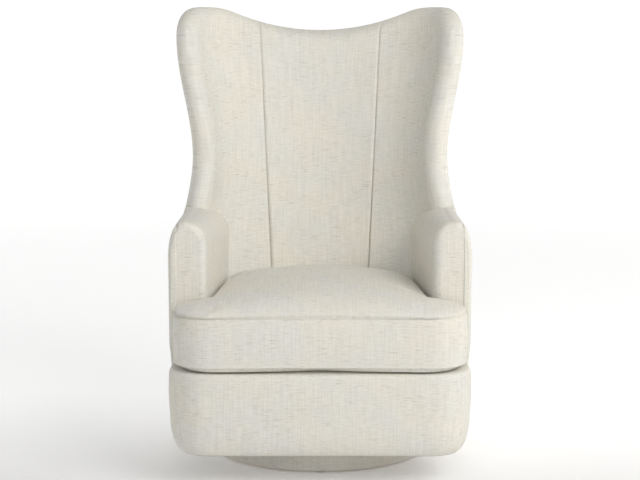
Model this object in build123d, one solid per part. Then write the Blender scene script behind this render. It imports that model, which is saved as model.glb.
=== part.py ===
from build123d import *
import os
from math import atan2, cos, degrees, hypot, radians, sin

# Swivel wing chair, in millimetres. The origin is on the floor under the swivel axis,
# the front faces -Y and +Z is up. Every height is stacked from the floor upwards.

# Fits and layers
SLIP = 0.05                 # radial clearance of a pin, screw or ball in its seat
REST = 0.3                  # gap under a soft piece that lies on another body
COVER = 4                   # cloth with its wadding

# Plinth
GLIDE_COUNT = 6
GLIDE_RADIUS = 12
GLIDE_HEIGHT = 4
PLINTH_RADIUS = 282.5
PLINTH_CLOTH = 2.5
PLINTH_WALL = 30
PLINTH_HEIGHT = 62
TOP_BOARD = 18

# Swivel bearing
PLATE_SIDE = 200
PLATE_CORNER = 15
PLATE_THICKNESS = 4
RACE_RADIUS = 75
RACE_WIDTH = 30
RACE_HEIGHT = 12
RACE_GAP = 4
BALL_RADIUS = 4.75
BALL_COUNT = 24
CAGE_WIDTH = 18
CAGE_THICKNESS = 1.6
KING_RADIUS = 8
KING_HEAD_RADIUS = 14
KING_HEAD_HEIGHT = 7
KING_NUT_RADIUS = 13
KING_NUT_HEIGHT = 9
KING_WASHER = 2
FASTENER_INSET = 20         # plate edge to the centre of a screw or bolt
SCREW_RADIUS = 2.5
SCREW_HEAD_RADIUS = 5.5
SCREW_HEAD_HEIGHT = 3
SCREW_LENGTH = 15
BOLT_RADIUS = 4
BOLT_HEAD_RADIUS = 7
BOLT_HEAD_HEIGHT = 5
BOLT_NUT_RADIUS = 10
BOLT_NUT_HEIGHT = 4

# Seat frame
MOUNT_BOARD = 18
MOUNT_BOARD_HALF_WIDTH = 180
MOUNT_BOARD_SETBACK = 10    # board ends inside the rails' outer faces
RAIL_THICKNESS = 25
RAIL_HEIGHT = 142
CORNER_BLOCK_LEG = 60
CORNER_BLOCK_INSET = 20     # block ends below and above the rail's edges
SPRING_COUNT = 5
SPRING_SPACING = 95
SPRING_BARS = 23
SPRING_BAR_HALF = 22
SPRING_WIRE_RADIUS = 1.9
CLIP_LENGTH = 36
CLIP_DEPTH = 16
CLIP_HEIGHT = 6
DECK_PAD = 9.4
DECK_CLOTH = 2
DECK_SIDE_GAP = 1

# Body outline
BODY_CLEARANCE = 10         # plinth top to the underside of the body
BODY_HALF_WIDTH = 362.5
WAIST_HALF_WIDTH = 331
WING_HALF_WIDTH = 375
FRONT_REACH = 425           # swivel axis to the front border
FRONT_CORNER = 100
BOTTOM_ROUND_WIDTH = 75
BOTTOM_ROUND_HEIGHT = 95
REAR_BOTTOM_Y = 290
REAR_RAKE = 0.1366          # rearward run of the outside back per unit of height
REAR_DEPTH = 290            # depth of the rounded rear of the plan
REAR_CORNER = 210
BORDER_PAD = 30             # foam ahead of the front rail
BORDER_LIP = 13             # border top above the rails
BORDER_CLOTH_END = 125      # border front to its seam with the side cover

# Arms
ARM_RISE = 341              # border top to arm top
ARM_SETBACK = 130           # border front to arm front
ARM_FRONT_WIDTH = 90
ARM_REAR_WIDTH = 123
ARM_REAR_Y = 66             # where the rear width is measured
ARM_CORNER = 30
ARM_TOP_ROUND = 26
ARM_OUTER_ROUND = 60
ARM_OUTER_START = 52        # arm's outer face to the centre of its outer rounding
ARM_PANEL = 18
ARM_PANEL_PAD = 12.5        # foam between the arm's inner face and the panel
ARM_PANEL_FRONT_PAD = 20
ARM_PANEL_TOP_PAD = 26
SIDE_CLOTH_DROP = 31        # arm top to the top edge of the side cover

# Back and wings
SEAT_BACK_Y = 115           # inside back at the seat
BACK_RAKE = 0.33
LUMBAR_RISE = 150           # deck to the middle of the bend from upright to raked
LUMBAR_BEND = 60            # half the height of that bend
WING_THICKNESS = 62
WING_PROJECTION = 185       # wing edge ahead of the middle of the inside back
INSIDE_CORNER = 160
WAIST_RISE = 119            # arm top to the narrowest level
WING_RISE = 325             # waist to the widest level
EAR_RISE = 65               # widest level to the top of the wings
SHOULDER_DROP = 116         # arm top down to where the sides begin to draw in
TOP_DIP = 61                # middle of the top edge below the wing tops
EAR_CENTER = 300
EAR_ARC = 150
EAR_CORNER = 70
EAR_CORNER_END = 20         # degrees above level where the corner runs out into the side
SEAM_LOW = 124              # half spacing of the inside back seams at the seat
SEAM_SPLAY = 0.056
POST_HALF_SPACING = 177.5
POST_WIDTH = 25
POST_BEND = 38              # rail top to where the posts lean back
POST_RAKE = 0.25
POST_HEIGHT = 710           # of the leaning part
TOP_RAIL_HEIGHT = 60
LOWER_RAIL_HEIGHT = 60
STRAP_COUNT = 5
STRAP_WIDTH = 50
STRAP_THICKNESS = 2
CAVITY_MARGIN = 10          # hollow of the back beyond the posts
WING_BOARD = 15
WING_BOARD_INSET = 24       # outer face of the body to the wing board
WING_BOARD_WIDTH = 95
WING_BOARD_EDGE = 25        # wing edge to the board
WING_BOARD_TOP_PAD = 85
WING_BLOCK_LAP = 55         # wing board's lap on the arm panel
WING_BLOCK_HEIGHT = 220
PANEL_STOP = 8              # arm panel ends short of the back
BACK_SEAM = 230             # half spacing of the outside back seams

# Seat cushion
CUSHION_SETBACK = 3
CUSHION_SIDE_GAP = 3
CUSHION_REAR_GAP = 6
CUSHION_EAR_GAP = 6
CUSHION_EAR_INSET = 13      # ear end inside the body's side
CUSHION_CORNER = 90
CUSHION_DRAW = 4            # front edge drawn in between the corners
CUSHION_LIP = 14            # bottom panel to the lower seam
CUSHION_BAND = 115
CUSHION_CROWN = 44
CUSHION_FULLNESS = 2.5      # higher keeps the crown flat further towards the edges
CUSHION_EDGE_RISE = 1       # crown left at the front and rear edges
ZIP_ANGLE = 17              # half the zip's sweep in degrees
ZIP_WIDTH = 24
ZIP_THICKNESS = 1
SLIDER_WIDTH = 12
SLIDER_HEIGHT = 14
SLIDER_THICKNESS = 3

# Loft resolution
ROUND_STEPS = 4
WALL_STEPS = 9
UPPER_STEPS = 5             # inside of the back above its bend
CROWN_STEPS = 8
LOFT_OVERRUN = 15           # sections run past the top edge, which is cut later
REACH = 700                 # cutting blocks extend past the chair by this much

# Levels
PLINTH_TOP = GLIDE_HEIGHT + PLINTH_HEIGHT
LOWER_RACE_TOP = PLINTH_TOP + PLATE_THICKNESS + RACE_HEIGHT
BALL_Z = LOWER_RACE_TOP + RACE_GAP / 2
UPPER_RACE_BOTTOM = LOWER_RACE_TOP + RACE_GAP
UPPER_PLATE_BOTTOM = UPPER_RACE_BOTTOM + RACE_HEIGHT
BOARD_BOTTOM = UPPER_PLATE_BOTTOM + PLATE_THICKNESS
RAIL_BOTTOM = BOARD_BOTTOM + MOUNT_BOARD
RAIL_TOP = RAIL_BOTTOM + RAIL_HEIGHT
PAD_BOTTOM = RAIL_TOP + CLIP_HEIGHT + REST
DECK_TOP = PAD_BOTTOM + DECK_PAD + DECK_CLOTH
UPHOLSTERY_BOTTOM = PAD_BOTTOM + 2 * REST
BODY_BOTTOM = PLINTH_TOP + BODY_CLEARANCE
BORDER_TOP = RAIL_TOP + BORDER_LIP
ARM_TOP = BORDER_TOP + ARM_RISE
WAIST_Z = ARM_TOP + WAIST_RISE
SHOULDER_Z = ARM_TOP - SHOULDER_DROP
WING_WIDE_Z = WAIST_Z + WING_RISE
EAR_TOP = WING_WIDE_Z + EAR_RISE
LOFT_TOP = EAR_TOP + LOFT_OVERRUN
CUSHION_BOTTOM = DECK_TOP + REST
CUSHION_LOWER_SEAM = CUSHION_BOTTOM + CUSHION_LIP
CUSHION_UPPER_SEAM = CUSHION_LOWER_SEAM + CUSHION_BAND

# Places in plan
FRONT_Y = -FRONT_REACH
BORDER_SEAM_Y = FRONT_Y + BORDER_CLOTH_END
ARM_FRONT_Y = FRONT_Y + ARM_SETBACK
ARM_INNER_FRONT = BODY_HALF_WIDTH - ARM_FRONT_WIDTH
ARM_INNER_REAR = BODY_HALF_WIDTH - ARM_REAR_WIDTH
PANEL_INNER_X = ARM_INNER_FRONT + ARM_PANEL_PAD
PANEL_OUTER_X = PANEL_INNER_X + ARM_PANEL
SIDE_RAIL_X = PANEL_INNER_X - RAIL_THICKNESS
FRONT_RAIL_Y = FRONT_Y + BORDER_PAD
FRONT_RAIL_END = FRONT_RAIL_Y + RAIL_THICKNESS
POST_FRONT_Y = SEAT_BACK_Y + RAIL_THICKNESS
POST_BEND_Z = RAIL_TOP + POST_BEND
POST_TOP_Z = POST_BEND_Z + POST_HEIGHT
FASTENER_XY = PLATE_SIDE / 2 - FASTENER_INSET


def block(low, high):
    """Box between two corners."""
    size = [b - a for a, b in zip(low, high)]
    middle = [(a + b) / 2 for a, b in zip(low, high)]
    return Pos(*middle) * Box(*size)


def disc(radius, bottom, top, x=0, y=0):
    """Upright cylinder between two levels."""
    return Pos(x, y, (bottom + top) / 2) * Cylinder(radius, top - bottom)


def tube(outer, inner, bottom, top):
    """Upright ring between two levels."""
    return disc(outer, bottom, top) - disc(inner, bottom, top)


def prism_x(points, x0, x1):
    """Outline of (y, z) points carried from x0 to x1."""
    outline = Polyline([(y, z) for y, z in points], close=True)
    return extrude(Plane.YZ.offset(x0) * make_face(outline), x1 - x0)


def smooth_step(t):
    """Level at both ends, 0 to 1."""
    t = min(max(t, 0), 1)
    return t * t * (3 - 2 * t)


def arc(center, radius, start, end, z):
    """Arc in plan by its centre and its two angles in degrees."""
    angles = [radians(a) for a in (start, (start + end) / 2, end)]
    return ThreePointArc(*[(center[0] + radius * cos(a), center[1] + radius * sin(a), z) for a in angles])


def outer_half_width(z):
    """Half width of the body: straight sides, a waist above the arms, then the wings' flare."""
    if z < WAIST_Z:
        drawn = smooth_step((z - SHOULDER_Z) / (WAIST_Z - SHOULDER_Z))
        return BODY_HALF_WIDTH + (WAIST_HALF_WIDTH - BODY_HALF_WIDTH) * drawn
    flare = smooth_step((z - WAIST_Z) / WING_RISE)
    return WAIST_HALF_WIDTH + (WING_HALF_WIDTH - WAIST_HALF_WIDTH) * flare


def rear_y(z):
    """Middle of the outside back, leaning straight back."""
    return REAR_BOTTOM_Y + REAR_RAKE * (z - BODY_BOTTOM)


def inside_y(z):
    """Middle of the inside back: upright behind the cushion, then raked, with a soft bend."""
    u = z - (UPHOLSTERY_BOTTOM + LUMBAR_RISE)
    if u <= -LUMBAR_BEND:
        return SEAT_BACK_Y
    if u >= LUMBAR_BEND:
        return SEAT_BACK_Y + BACK_RAKE * u
    return SEAT_BACK_Y + BACK_RAKE * (u + LUMBAR_BEND) ** 2 / (4 * LUMBAR_BEND)


def wing_edge_y(z):
    """Front edge of the wings, parallel to the inside back."""
    return inside_y(z) - WING_PROJECTION


def crown_arc(half_width, depth, corner):
    """Radius of the wide arc that joins two corner arcs into one rounded back."""
    return ((half_width - corner) ** 2 + depth ** 2 - corner ** 2) / (2 * (depth - corner))


def horseshoe(z, half_width, crown_y, depth, corner, front_y, front_corner):
    """Plan outline at one level: straight front and sides, three tangent arcs round the back."""
    crown = crown_arc(half_width, depth, corner)
    spring_y = crown_y - depth
    corner_x = half_width - corner
    middle = (0, crown_y - crown)
    join = degrees(atan2(spring_y - middle[1], corner_x))
    front_x = half_width - front_corner
    front_spring = front_y + front_corner
    edges = [
        Line((-front_x, front_y, z), (front_x, front_y, z)),
        arc((front_x, front_spring), front_corner, -90, 0, z),
        Line((half_width, front_spring, z), (half_width, spring_y, z)),
        arc((corner_x, spring_y), corner, 0, join, z),
        arc(middle, crown, join, 180 - join, z),
        arc((-corner_x, spring_y), corner, 180 - join, 180, z),
        Line((-half_width, spring_y, z), (-half_width, front_spring, z)),
        arc((-front_x, front_spring), front_corner, 180, 270, z),
    ]
    return Face(Wire(edges))


def outer_plan(z, inset):
    """Outside of the body at one level, moved inwards by inset."""
    return horseshoe(
        z, outer_half_width(z) - inset, rear_y(z) - inset, REAR_DEPTH - inset, REAR_CORNER - inset,
        FRONT_Y + inset, FRONT_CORNER - inset)


def inner_plan(z, inset):
    """Inside of the back and wings at one level, moved into the padding by inset."""
    half_width = outer_half_width(z) - WING_THICKNESS + inset
    return horseshoe(
        z, half_width, inside_y(z) + inset, WING_PROJECTION + inset, INSIDE_CORNER + inset,
        FRONT_Y - REACH, FRONT_CORNER)


def wall_plans(inset):
    """Plans of the upright part of the body, from above its rounded lower edge to past its top."""
    bottom = BODY_BOTTOM + BOTTOM_ROUND_HEIGHT
    levels = [bottom + (LOFT_TOP - bottom) * step / WALL_STEPS for step in range(WALL_STEPS + 1)]
    return [outer_plan(z, inset) for z in levels]


def outer_body(inset):
    """Whole body as one solid: rounded lower edge, waist and flare, moved inwards by inset."""
    rounding = []
    for step in range(ROUND_STEPS):
        angle = radians(90 * step / ROUND_STEPS)
        z = BODY_BOTTOM + BOTTOM_ROUND_HEIGHT * (1 - cos(angle))
        rounding.append(outer_plan(z, inset + BOTTOM_ROUND_WIDTH * (1 - sin(angle))))
    return loft(rounding + wall_plans(inset))


def outside_cloth(room, levels):
    """Cloth on the outside of the body within a room, made in level bands and joined."""
    room_body = outer_body(0) & room
    room_lining = outer_body(COVER) & room
    bands = []
    for low, high in zip(levels, levels[1:]):
        band = block((-REACH, -REACH, low), (REACH, REACH, high))
        bands.append((room_body & band) - (room_lining & band))
    return Part() + bands


def inner_space(inset):
    """Sitting space between the wings as one solid, widened into the padding by inset."""
    bend = UPHOLSTERY_BOTTOM + LUMBAR_RISE
    levels = [UPHOLSTERY_BOTTOM - 2 * RAIL_THICKNESS]
    levels += [bend + LUMBAR_BEND * turn for turn in (-2, -1, 0, 1)]
    upper = bend + 2 * LUMBAR_BEND
    levels += [upper + (LOFT_TOP - upper) * step / UPPER_STEPS for step in range(UPPER_STEPS + 1)]
    return loft([inner_plan(z, inset) for z in levels])


def top_outline(inset):
    """Everything under the top edge: a dip in the middle, round wing tops and corners."""
    dip = (EAR_CENTER ** 2 - 2 * EAR_ARC * TOP_DIP + TOP_DIP ** 2) / (2 * TOP_DIP)
    dip_center = EAR_TOP - TOP_DIP + dip
    ear_center = EAR_TOP - EAR_ARC
    lean = degrees(atan2(dip_center - ear_center, EAR_CENTER))
    corner_x = max(WING_HALF_WIDTH - EAR_CORNER, EAR_CENTER)
    corner_z = EAR_TOP - EAR_CORNER
    corner_radius = EAR_CORNER - inset
    end_x = corner_x + corner_radius * cos(radians(EAR_CORNER_END))
    end_z = corner_z + corner_radius * sin(radians(EAR_CORNER_END))
    out_x = end_x + 2 * REACH * sin(radians(EAR_CORNER_END))
    out_z = end_z - 2 * REACH * cos(radians(EAR_CORNER_END))
    edges = [
        arc((0, dip_center), dip + inset, -90 - (90 - lean), -lean, 0),
        arc((EAR_CENTER, ear_center), EAR_ARC - inset, 180 - lean, 90, 0),
        Line((EAR_CENTER, EAR_TOP - inset), (corner_x + REST, EAR_TOP - inset)),
        arc((corner_x + REST, corner_z), corner_radius, 90, EAR_CORNER_END, 0),
        Line((end_x + REST, end_z), (out_x, out_z)),
        Line((out_x, out_z), (-out_x, out_z)),
        Line((-out_x, out_z), (-end_x - REST, end_z)),
        arc((-corner_x - REST, corner_z), corner_radius, 180 - EAR_CORNER_END, 90, 0),
        Line((-corner_x - REST, EAR_TOP - inset), (-EAR_CENTER, EAR_TOP - inset)),
        arc((-EAR_CENTER, ear_center), EAR_ARC - inset, 90, lean, 0),
    ]
    return extrude(Plane.XZ * Face(Wire(edges)), REACH, both=True)


def back_outline(inset):
    """Side view of the back and wings behind the wing edge."""
    foot = wing_edge_y(ARM_TOP)
    head = wing_edge_y(LOFT_TOP)
    points = [
        (foot, UPHOLSTERY_BOTTOM), (foot, ARM_TOP), (foot + inset, ARM_TOP + REST),
        (head + inset, LOFT_TOP), (REACH, LOFT_TOP), (REACH, UPHOLSTERY_BOTTOM)]
    return prism_x(points, -REACH, REACH)


def arm_inner_x(y):
    """Inner face of the right arm, closing in towards the back."""
    run = (y - ARM_FRONT_Y) / (ARM_REAR_Y - ARM_FRONT_Y)
    return ARM_INNER_FRONT + (ARM_INNER_REAR - ARM_INNER_FRONT) * run


def arm_form(inset):
    """Right arm with rounded front corner, inner top edge and outer top edge."""
    front = ARM_FRONT_Y + inset
    rear = SEAT_BACK_Y + RAIL_THICKNESS
    plan = Polyline([
        (arm_inner_x(front) + inset, front), (REACH, front), (REACH, rear),
        (arm_inner_x(rear) + inset, rear)], close=True)
    face = make_face(plan)
    face = fillet(face.vertices().sort_by_distance((arm_inner_x(front), front))[0], ARM_CORNER - inset)
    top = ARM_TOP - inset
    solid = extrude(Pos(0, 0, UPHOLSTERY_BOTTOM) * face, top - UPHOLSTERY_BOTTOM)
    top_edges = solid.edges().group_by(Axis.Z)[-1]
    rim = [e for e in top_edges if e.center().X < REACH - REST and e.center().Y < rear - REST]
    solid = fillet(rim, ARM_TOP_ROUND - inset)
    center_x = BODY_HALF_WIDTH - ARM_OUTER_START
    center_z = ARM_TOP - ARM_OUTER_ROUND
    radius = ARM_OUTER_ROUND - inset
    outline = [
        Line((0, BODY_BOTTOM), (center_x + radius, BODY_BOTTOM)),
        Line((center_x + radius, BODY_BOTTOM), (center_x + radius, center_z)),
        arc((center_x, center_z), radius, 0, 90, 0),
        Line((center_x, top), (center_x, EAR_TOP)),
        Line((center_x, EAR_TOP), (0, EAR_TOP)),
        Line((0, EAR_TOP), (0, BODY_BOTTOM)),
    ]
    return solid & extrude(Plane.XZ * Face(Wire(outline)), REACH, both=True)


def seat_plan(z, side_gap, rear_gap):
    """Seat area between the arms and the inside back at one level."""
    rear = SEAT_BACK_Y + RAIL_THICKNESS
    between = Polyline([
        (-arm_inner_x(FRONT_Y) + side_gap, FRONT_Y, z), (arm_inner_x(FRONT_Y) - side_gap, FRONT_Y, z),
        (arm_inner_x(rear) - side_gap, rear, z), (-arm_inner_x(rear) + side_gap, rear, z)], close=True)
    return make_face(between) & inner_plan(z, -rear_gap)


def both_sides(right):
    """The right-hand piece and its mirror image."""
    return right, mirror(right, about=Plane.YZ)


def save(node, shape):
    """Write one node."""
    export_step(shape, f"parts/{node}.step")


def save_pair(node, right):
    """Write a right-hand piece and its left-hand twin."""
    for side, shape in zip(("right", "left"), both_sides(right)):
        save(f"{side}_{node}", shape)


def corner_places():
    """Centres of the four fasteners of a swivel plate."""
    return [(sx * FASTENER_XY, sy * FASTENER_XY) for sx in (-1, 1) for sy in (-1, 1)]


def drill(shape, radius, bottom, top):
    """Four holes at the fastener places."""
    return shape - [disc(radius, bottom, top, x, y) for x, y in corner_places()]


def make_plinth():
    """Round covered drum on glides, with its top board."""
    wall_outer = PLINTH_RADIUS - PLINTH_CLOTH
    wall_inner = wall_outer - PLINTH_WALL
    glide_ring = wall_outer - PLINTH_WALL / 2
    board_bottom = PLINTH_TOP - TOP_BOARD
    glides = [disc(GLIDE_RADIUS, 0, GLIDE_HEIGHT, p.position.X, p.position.Y)
              for p in PolarLocations(glide_ring, GLIDE_COUNT, start_angle=-90)]
    save("floor_glides", Compound(glides))
    save("plinth_drum", tube(wall_outer, wall_inner, GLIDE_HEIGHT, PLINTH_TOP))
    save("plinth_cover", tube(PLINTH_RADIUS, wall_outer, GLIDE_HEIGHT, PLINTH_TOP))
    board = disc(wall_inner, board_bottom, PLINTH_TOP)
    board -= disc(KING_HEAD_RADIUS + REST, board_bottom, PLINTH_TOP)
    screw_end = PLINTH_TOP + PLATE_THICKNESS - SCREW_LENGTH
    save("plinth_top_board", drill(board, SCREW_RADIUS + SLIP, screw_end - SLIP, PLINTH_TOP))


def swivel_plate(plate_bottom, race_bottom):
    """Square plate with a ring-shaped race that is grooved for the balls."""
    plate = RectangleRounded(PLATE_SIDE, PLATE_SIDE, PLATE_CORNER)
    solid = extrude(Pos(0, 0, plate_bottom) * plate, PLATE_THICKNESS)
    half = RACE_WIDTH / 2
    solid += tube(RACE_RADIUS + half, RACE_RADIUS - half, race_bottom, race_bottom + RACE_HEIGHT)
    solid -= Pos(0, 0, BALL_Z) * Torus(RACE_RADIUS, BALL_RADIUS + SLIP)
    return solid - disc(KING_RADIUS + SLIP, plate_bottom, plate_bottom + PLATE_THICKNESS)


def make_swivel():
    """Two grooved plates, a caged ring of balls between them and the king bolt."""
    plate_top = PLINTH_TOP + PLATE_THICKNESS
    lower = swivel_plate(PLINTH_TOP, plate_top)
    save("lower_swivel_plate", drill(lower, SCREW_RADIUS + SLIP, PLINTH_TOP, plate_top))
    upper = swivel_plate(UPPER_PLATE_BOTTOM, UPPER_RACE_BOTTOM)
    save("upper_swivel_plate", drill(upper, BOLT_RADIUS + SLIP, UPPER_PLATE_BOTTOM, BOARD_BOTTOM))

    screws = [disc(SCREW_RADIUS, plate_top - SCREW_LENGTH, plate_top, x, y)
              + disc(SCREW_HEAD_RADIUS, plate_top, plate_top + SCREW_HEAD_HEIGHT, x, y)
              for x, y in corner_places()]
    save("lower_plate_screws", Compound(screws))
    bolt_top = RAIL_BOTTOM + BOLT_NUT_HEIGHT
    bolts = [disc(BOLT_RADIUS, UPPER_PLATE_BOTTOM, bolt_top, x, y)
             + disc(BOLT_HEAD_RADIUS, UPPER_PLATE_BOTTOM - BOLT_HEAD_HEIGHT, UPPER_PLATE_BOTTOM, x, y)
             for x, y in corner_places()]
    save("upper_plate_bolts", Compound(bolts))
    nuts = [disc(BOLT_NUT_RADIUS, RAIL_BOTTOM, bolt_top, x, y)
            - disc(BOLT_RADIUS + SLIP, RAIL_BOTTOM, bolt_top, x, y) for x, y in corner_places()]
    save("upper_plate_nuts", Compound(nuts))

    washer_bottom = BOARD_BOTTOM + SLIP
    nut_bottom = washer_bottom + KING_WASHER
    nut_top = nut_bottom + KING_NUT_HEIGHT
    king = disc(KING_RADIUS, PLINTH_TOP, nut_top)
    king += disc(KING_HEAD_RADIUS, PLINTH_TOP - KING_HEAD_HEIGHT, PLINTH_TOP)
    save("king_bolt", king)
    hole = KING_RADIUS + SLIP
    save("king_washer", tube(KING_NUT_RADIUS + KING_WASHER, hole, washer_bottom, nut_bottom))
    nut = extrude(Pos(0, 0, nut_bottom) * RegularPolygon(KING_NUT_RADIUS, 6), KING_NUT_HEIGHT)
    save("king_nut", nut - disc(hole, nut_bottom, nut_top))

    spots = [p.position for p in PolarLocations(RACE_RADIUS, BALL_COUNT)]
    save("bearing_balls", Compound([Pos(p.X, p.Y, BALL_Z) * Sphere(BALL_RADIUS) for p in spots]))
    bottom = BALL_Z - CAGE_THICKNESS / 2
    top = BALL_Z + CAGE_THICKNESS / 2
    cage = tube(RACE_RADIUS + CAGE_WIDTH / 2, RACE_RADIUS - CAGE_WIDTH / 2, bottom, top)
    cage -= [disc(BALL_RADIUS + SLIP, bottom, top, p.X, p.Y) for p in spots]
    save("bearing_cage", cage)


def make_seat_frame():
    """Mounting board, four rails and their corner blocks."""
    rear = SEAT_BACK_Y + RAIL_THICKNESS
    board = block((-MOUNT_BOARD_HALF_WIDTH, FRONT_RAIL_Y + MOUNT_BOARD_SETBACK, BOARD_BOTTOM),
                  (MOUNT_BOARD_HALF_WIDTH, rear - MOUNT_BOARD_SETBACK, RAIL_BOTTOM))
    board -= disc(KING_NUT_RADIUS + 2 * KING_WASHER, BOARD_BOTTOM, RAIL_BOTTOM)
    save("mounting_board", drill(board, BOLT_RADIUS + SLIP, BOARD_BOTTOM, RAIL_BOTTOM))
    save("front_rail", block((-PANEL_INNER_X, FRONT_RAIL_Y, RAIL_BOTTOM),
                             (PANEL_INNER_X, FRONT_RAIL_END, RAIL_TOP)))
    save("back_rail", block((-PANEL_INNER_X, SEAT_BACK_Y, RAIL_BOTTOM), (PANEL_INNER_X, rear, RAIL_TOP)))
    save_pair("side_rail", block((SIDE_RAIL_X, FRONT_RAIL_END, RAIL_BOTTOM),
                                 (PANEL_INNER_X, SEAT_BACK_Y, RAIL_TOP)))
    bottom = RAIL_BOTTOM + CORNER_BLOCK_INSET
    height = RAIL_HEIGHT - 2 * CORNER_BLOCK_INSET
    blocks = []
    for corner_y, turn in ((FRONT_RAIL_END, 1), (SEAT_BACK_Y, -1)):
        triangle = Polyline([
            (SIDE_RAIL_X, corner_y), (SIDE_RAIL_X - CORNER_BLOCK_LEG, corner_y),
            (SIDE_RAIL_X, corner_y + turn * CORNER_BLOCK_LEG)], close=True)
        blocks += both_sides(extrude(Pos(0, 0, bottom) * make_face(triangle), height, dir=(0, 0, 1)))
    save("corner_blocks", Compound(blocks))


def spring_path(x, start_y, end_y, z):
    """Sinuous wire: bars across the seat joined by half turns."""
    pitch = (end_y - start_y) / (SPRING_BARS - 1)
    edges = []
    for bar in range(SPRING_BARS):
        y = start_y + bar * pitch
        turn = 1 if bar % 2 == 0 else -1
        far = x + turn * SPRING_BAR_HALF
        edges.append(Line((x - turn * SPRING_BAR_HALF, y, z), (far, y, z)))
        if bar < SPRING_BARS - 1:
            tip = (far + turn * pitch / 2, y + pitch / 2, z)
            edges.append(ThreePointArc((far, y, z), tip, (far, y + pitch, z)))
    return Wire(edges)


def make_deck():
    """Sinuous springs in their clips, the insulating pad and the deck cloth."""
    z = RAIL_TOP + CLIP_HEIGHT / 2
    ends = (FRONT_RAIL_Y + RAIL_THICKNESS / 2, SEAT_BACK_Y + RAIL_THICKNESS / 2)
    springs = []
    clips = []
    for row in range(SPRING_COUNT):
        x = (row - (SPRING_COUNT - 1) / 2) * SPRING_SPACING
        path = spring_path(x, *ends, z)
        springs.append(sweep(Plane(path @ 0, z_dir=path % 0) * Circle(SPRING_WIRE_RADIUS), path))
        for y in ends:
            bore = Pos(x, y, z) * Rot(0, 90, 0) * Cylinder(SPRING_WIRE_RADIUS + SLIP, CLIP_LENGTH)
            clips.append(Pos(x, y, z) * Box(CLIP_LENGTH, CLIP_DEPTH, CLIP_HEIGHT) - bore)
    save("seat_springs", Compound([s.solid() for s in springs]))
    save("spring_clips", Compound([c.solid() for c in clips]))
    plan = seat_plan(PAD_BOTTOM, DECK_SIDE_GAP, DECK_SIDE_GAP)
    plan -= Pos(0, FRONT_RAIL_Y - REACH, PAD_BOTTOM) * Rectangle(2 * REACH, 2 * REACH)
    save("deck_pad", extrude(plan, DECK_PAD, dir=(0, 0, 1)))
    save("deck_cloth", extrude(Pos(0, 0, DECK_PAD) * plan, DECK_CLOTH, dir=(0, 0, 1)))


def post_line(z):
    """Front face of the leaning posts."""
    return POST_FRONT_Y + POST_RAKE * (z - POST_BEND_Z)


def leaning(z0, z1, x0, x1):
    """Piece of the leaning back frame between two levels."""
    points = [(post_line(z0), z0), (post_line(z0) + RAIL_THICKNESS, z0),
              (post_line(z1) + RAIL_THICKNESS, z1), (post_line(z1), z1)]
    return prism_x(points, x0, x1)


def make_back_frame():
    """Posts, rails and webbing straps; returned for cutting the foam."""
    post_inner = POST_HALF_SPACING - POST_WIDTH / 2
    post_outer = POST_HALF_SPACING + POST_WIDTH / 2
    foot = block((post_inner, POST_FRONT_Y, RAIL_BOTTOM),
                 (post_outer, POST_FRONT_Y + RAIL_THICKNESS, POST_BEND_Z))
    post = foot + leaning(POST_BEND_Z, POST_TOP_Z, post_inner, post_outer)
    save_pair("back_post", post)
    top_rail = leaning(POST_TOP_Z - TOP_RAIL_HEIGHT, POST_TOP_Z, -post_inner, post_inner)
    save("back_top_rail", top_rail)
    lower_rail = leaning(POST_BEND_Z, POST_BEND_Z + LOWER_RAIL_HEIGHT, -post_inner, post_inner)
    save("back_lower_rail", lower_rail)
    slope = hypot(1, POST_RAKE)
    ahead = (-STRAP_THICKNESS / slope, STRAP_THICKNESS * POST_RAKE / slope)
    first = POST_BEND_Z + LOWER_RAIL_HEIGHT
    pitch = (POST_TOP_Z - TOP_RAIL_HEIGHT - first) / STRAP_COUNT
    straps = []
    for row in range(STRAP_COUNT):
        z0 = first + (row + 0.5) * pitch - STRAP_WIDTH / 2
        z1 = z0 + STRAP_WIDTH
        points = [(post_line(z0), z0), (post_line(z1), z1),
                  (post_line(z1) + ahead[0], z1 + ahead[1]), (post_line(z0) + ahead[0], z0 + ahead[1])]
        straps.append(prism_x(points, -post_outer, post_outer))
    save("back_webbing", Compound([s.solid() for s in straps]))
    hollow = prism_x([
        (POST_FRONT_Y, UPHOLSTERY_BOTTOM - RAIL_THICKNESS), (POST_FRONT_Y, POST_BEND_Z),
        (post_line(POST_TOP_Z - TOP_RAIL_HEIGHT), POST_TOP_Z - TOP_RAIL_HEIGHT),
        (REACH, POST_TOP_Z - TOP_RAIL_HEIGHT), (REACH, UPHOLSTERY_BOTTOM - RAIL_THICKNESS)],
        -post_outer - CAVITY_MARGIN, post_outer + CAVITY_MARGIN)
    return [*both_sides(post), top_rail, hollow, *straps]


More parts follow.
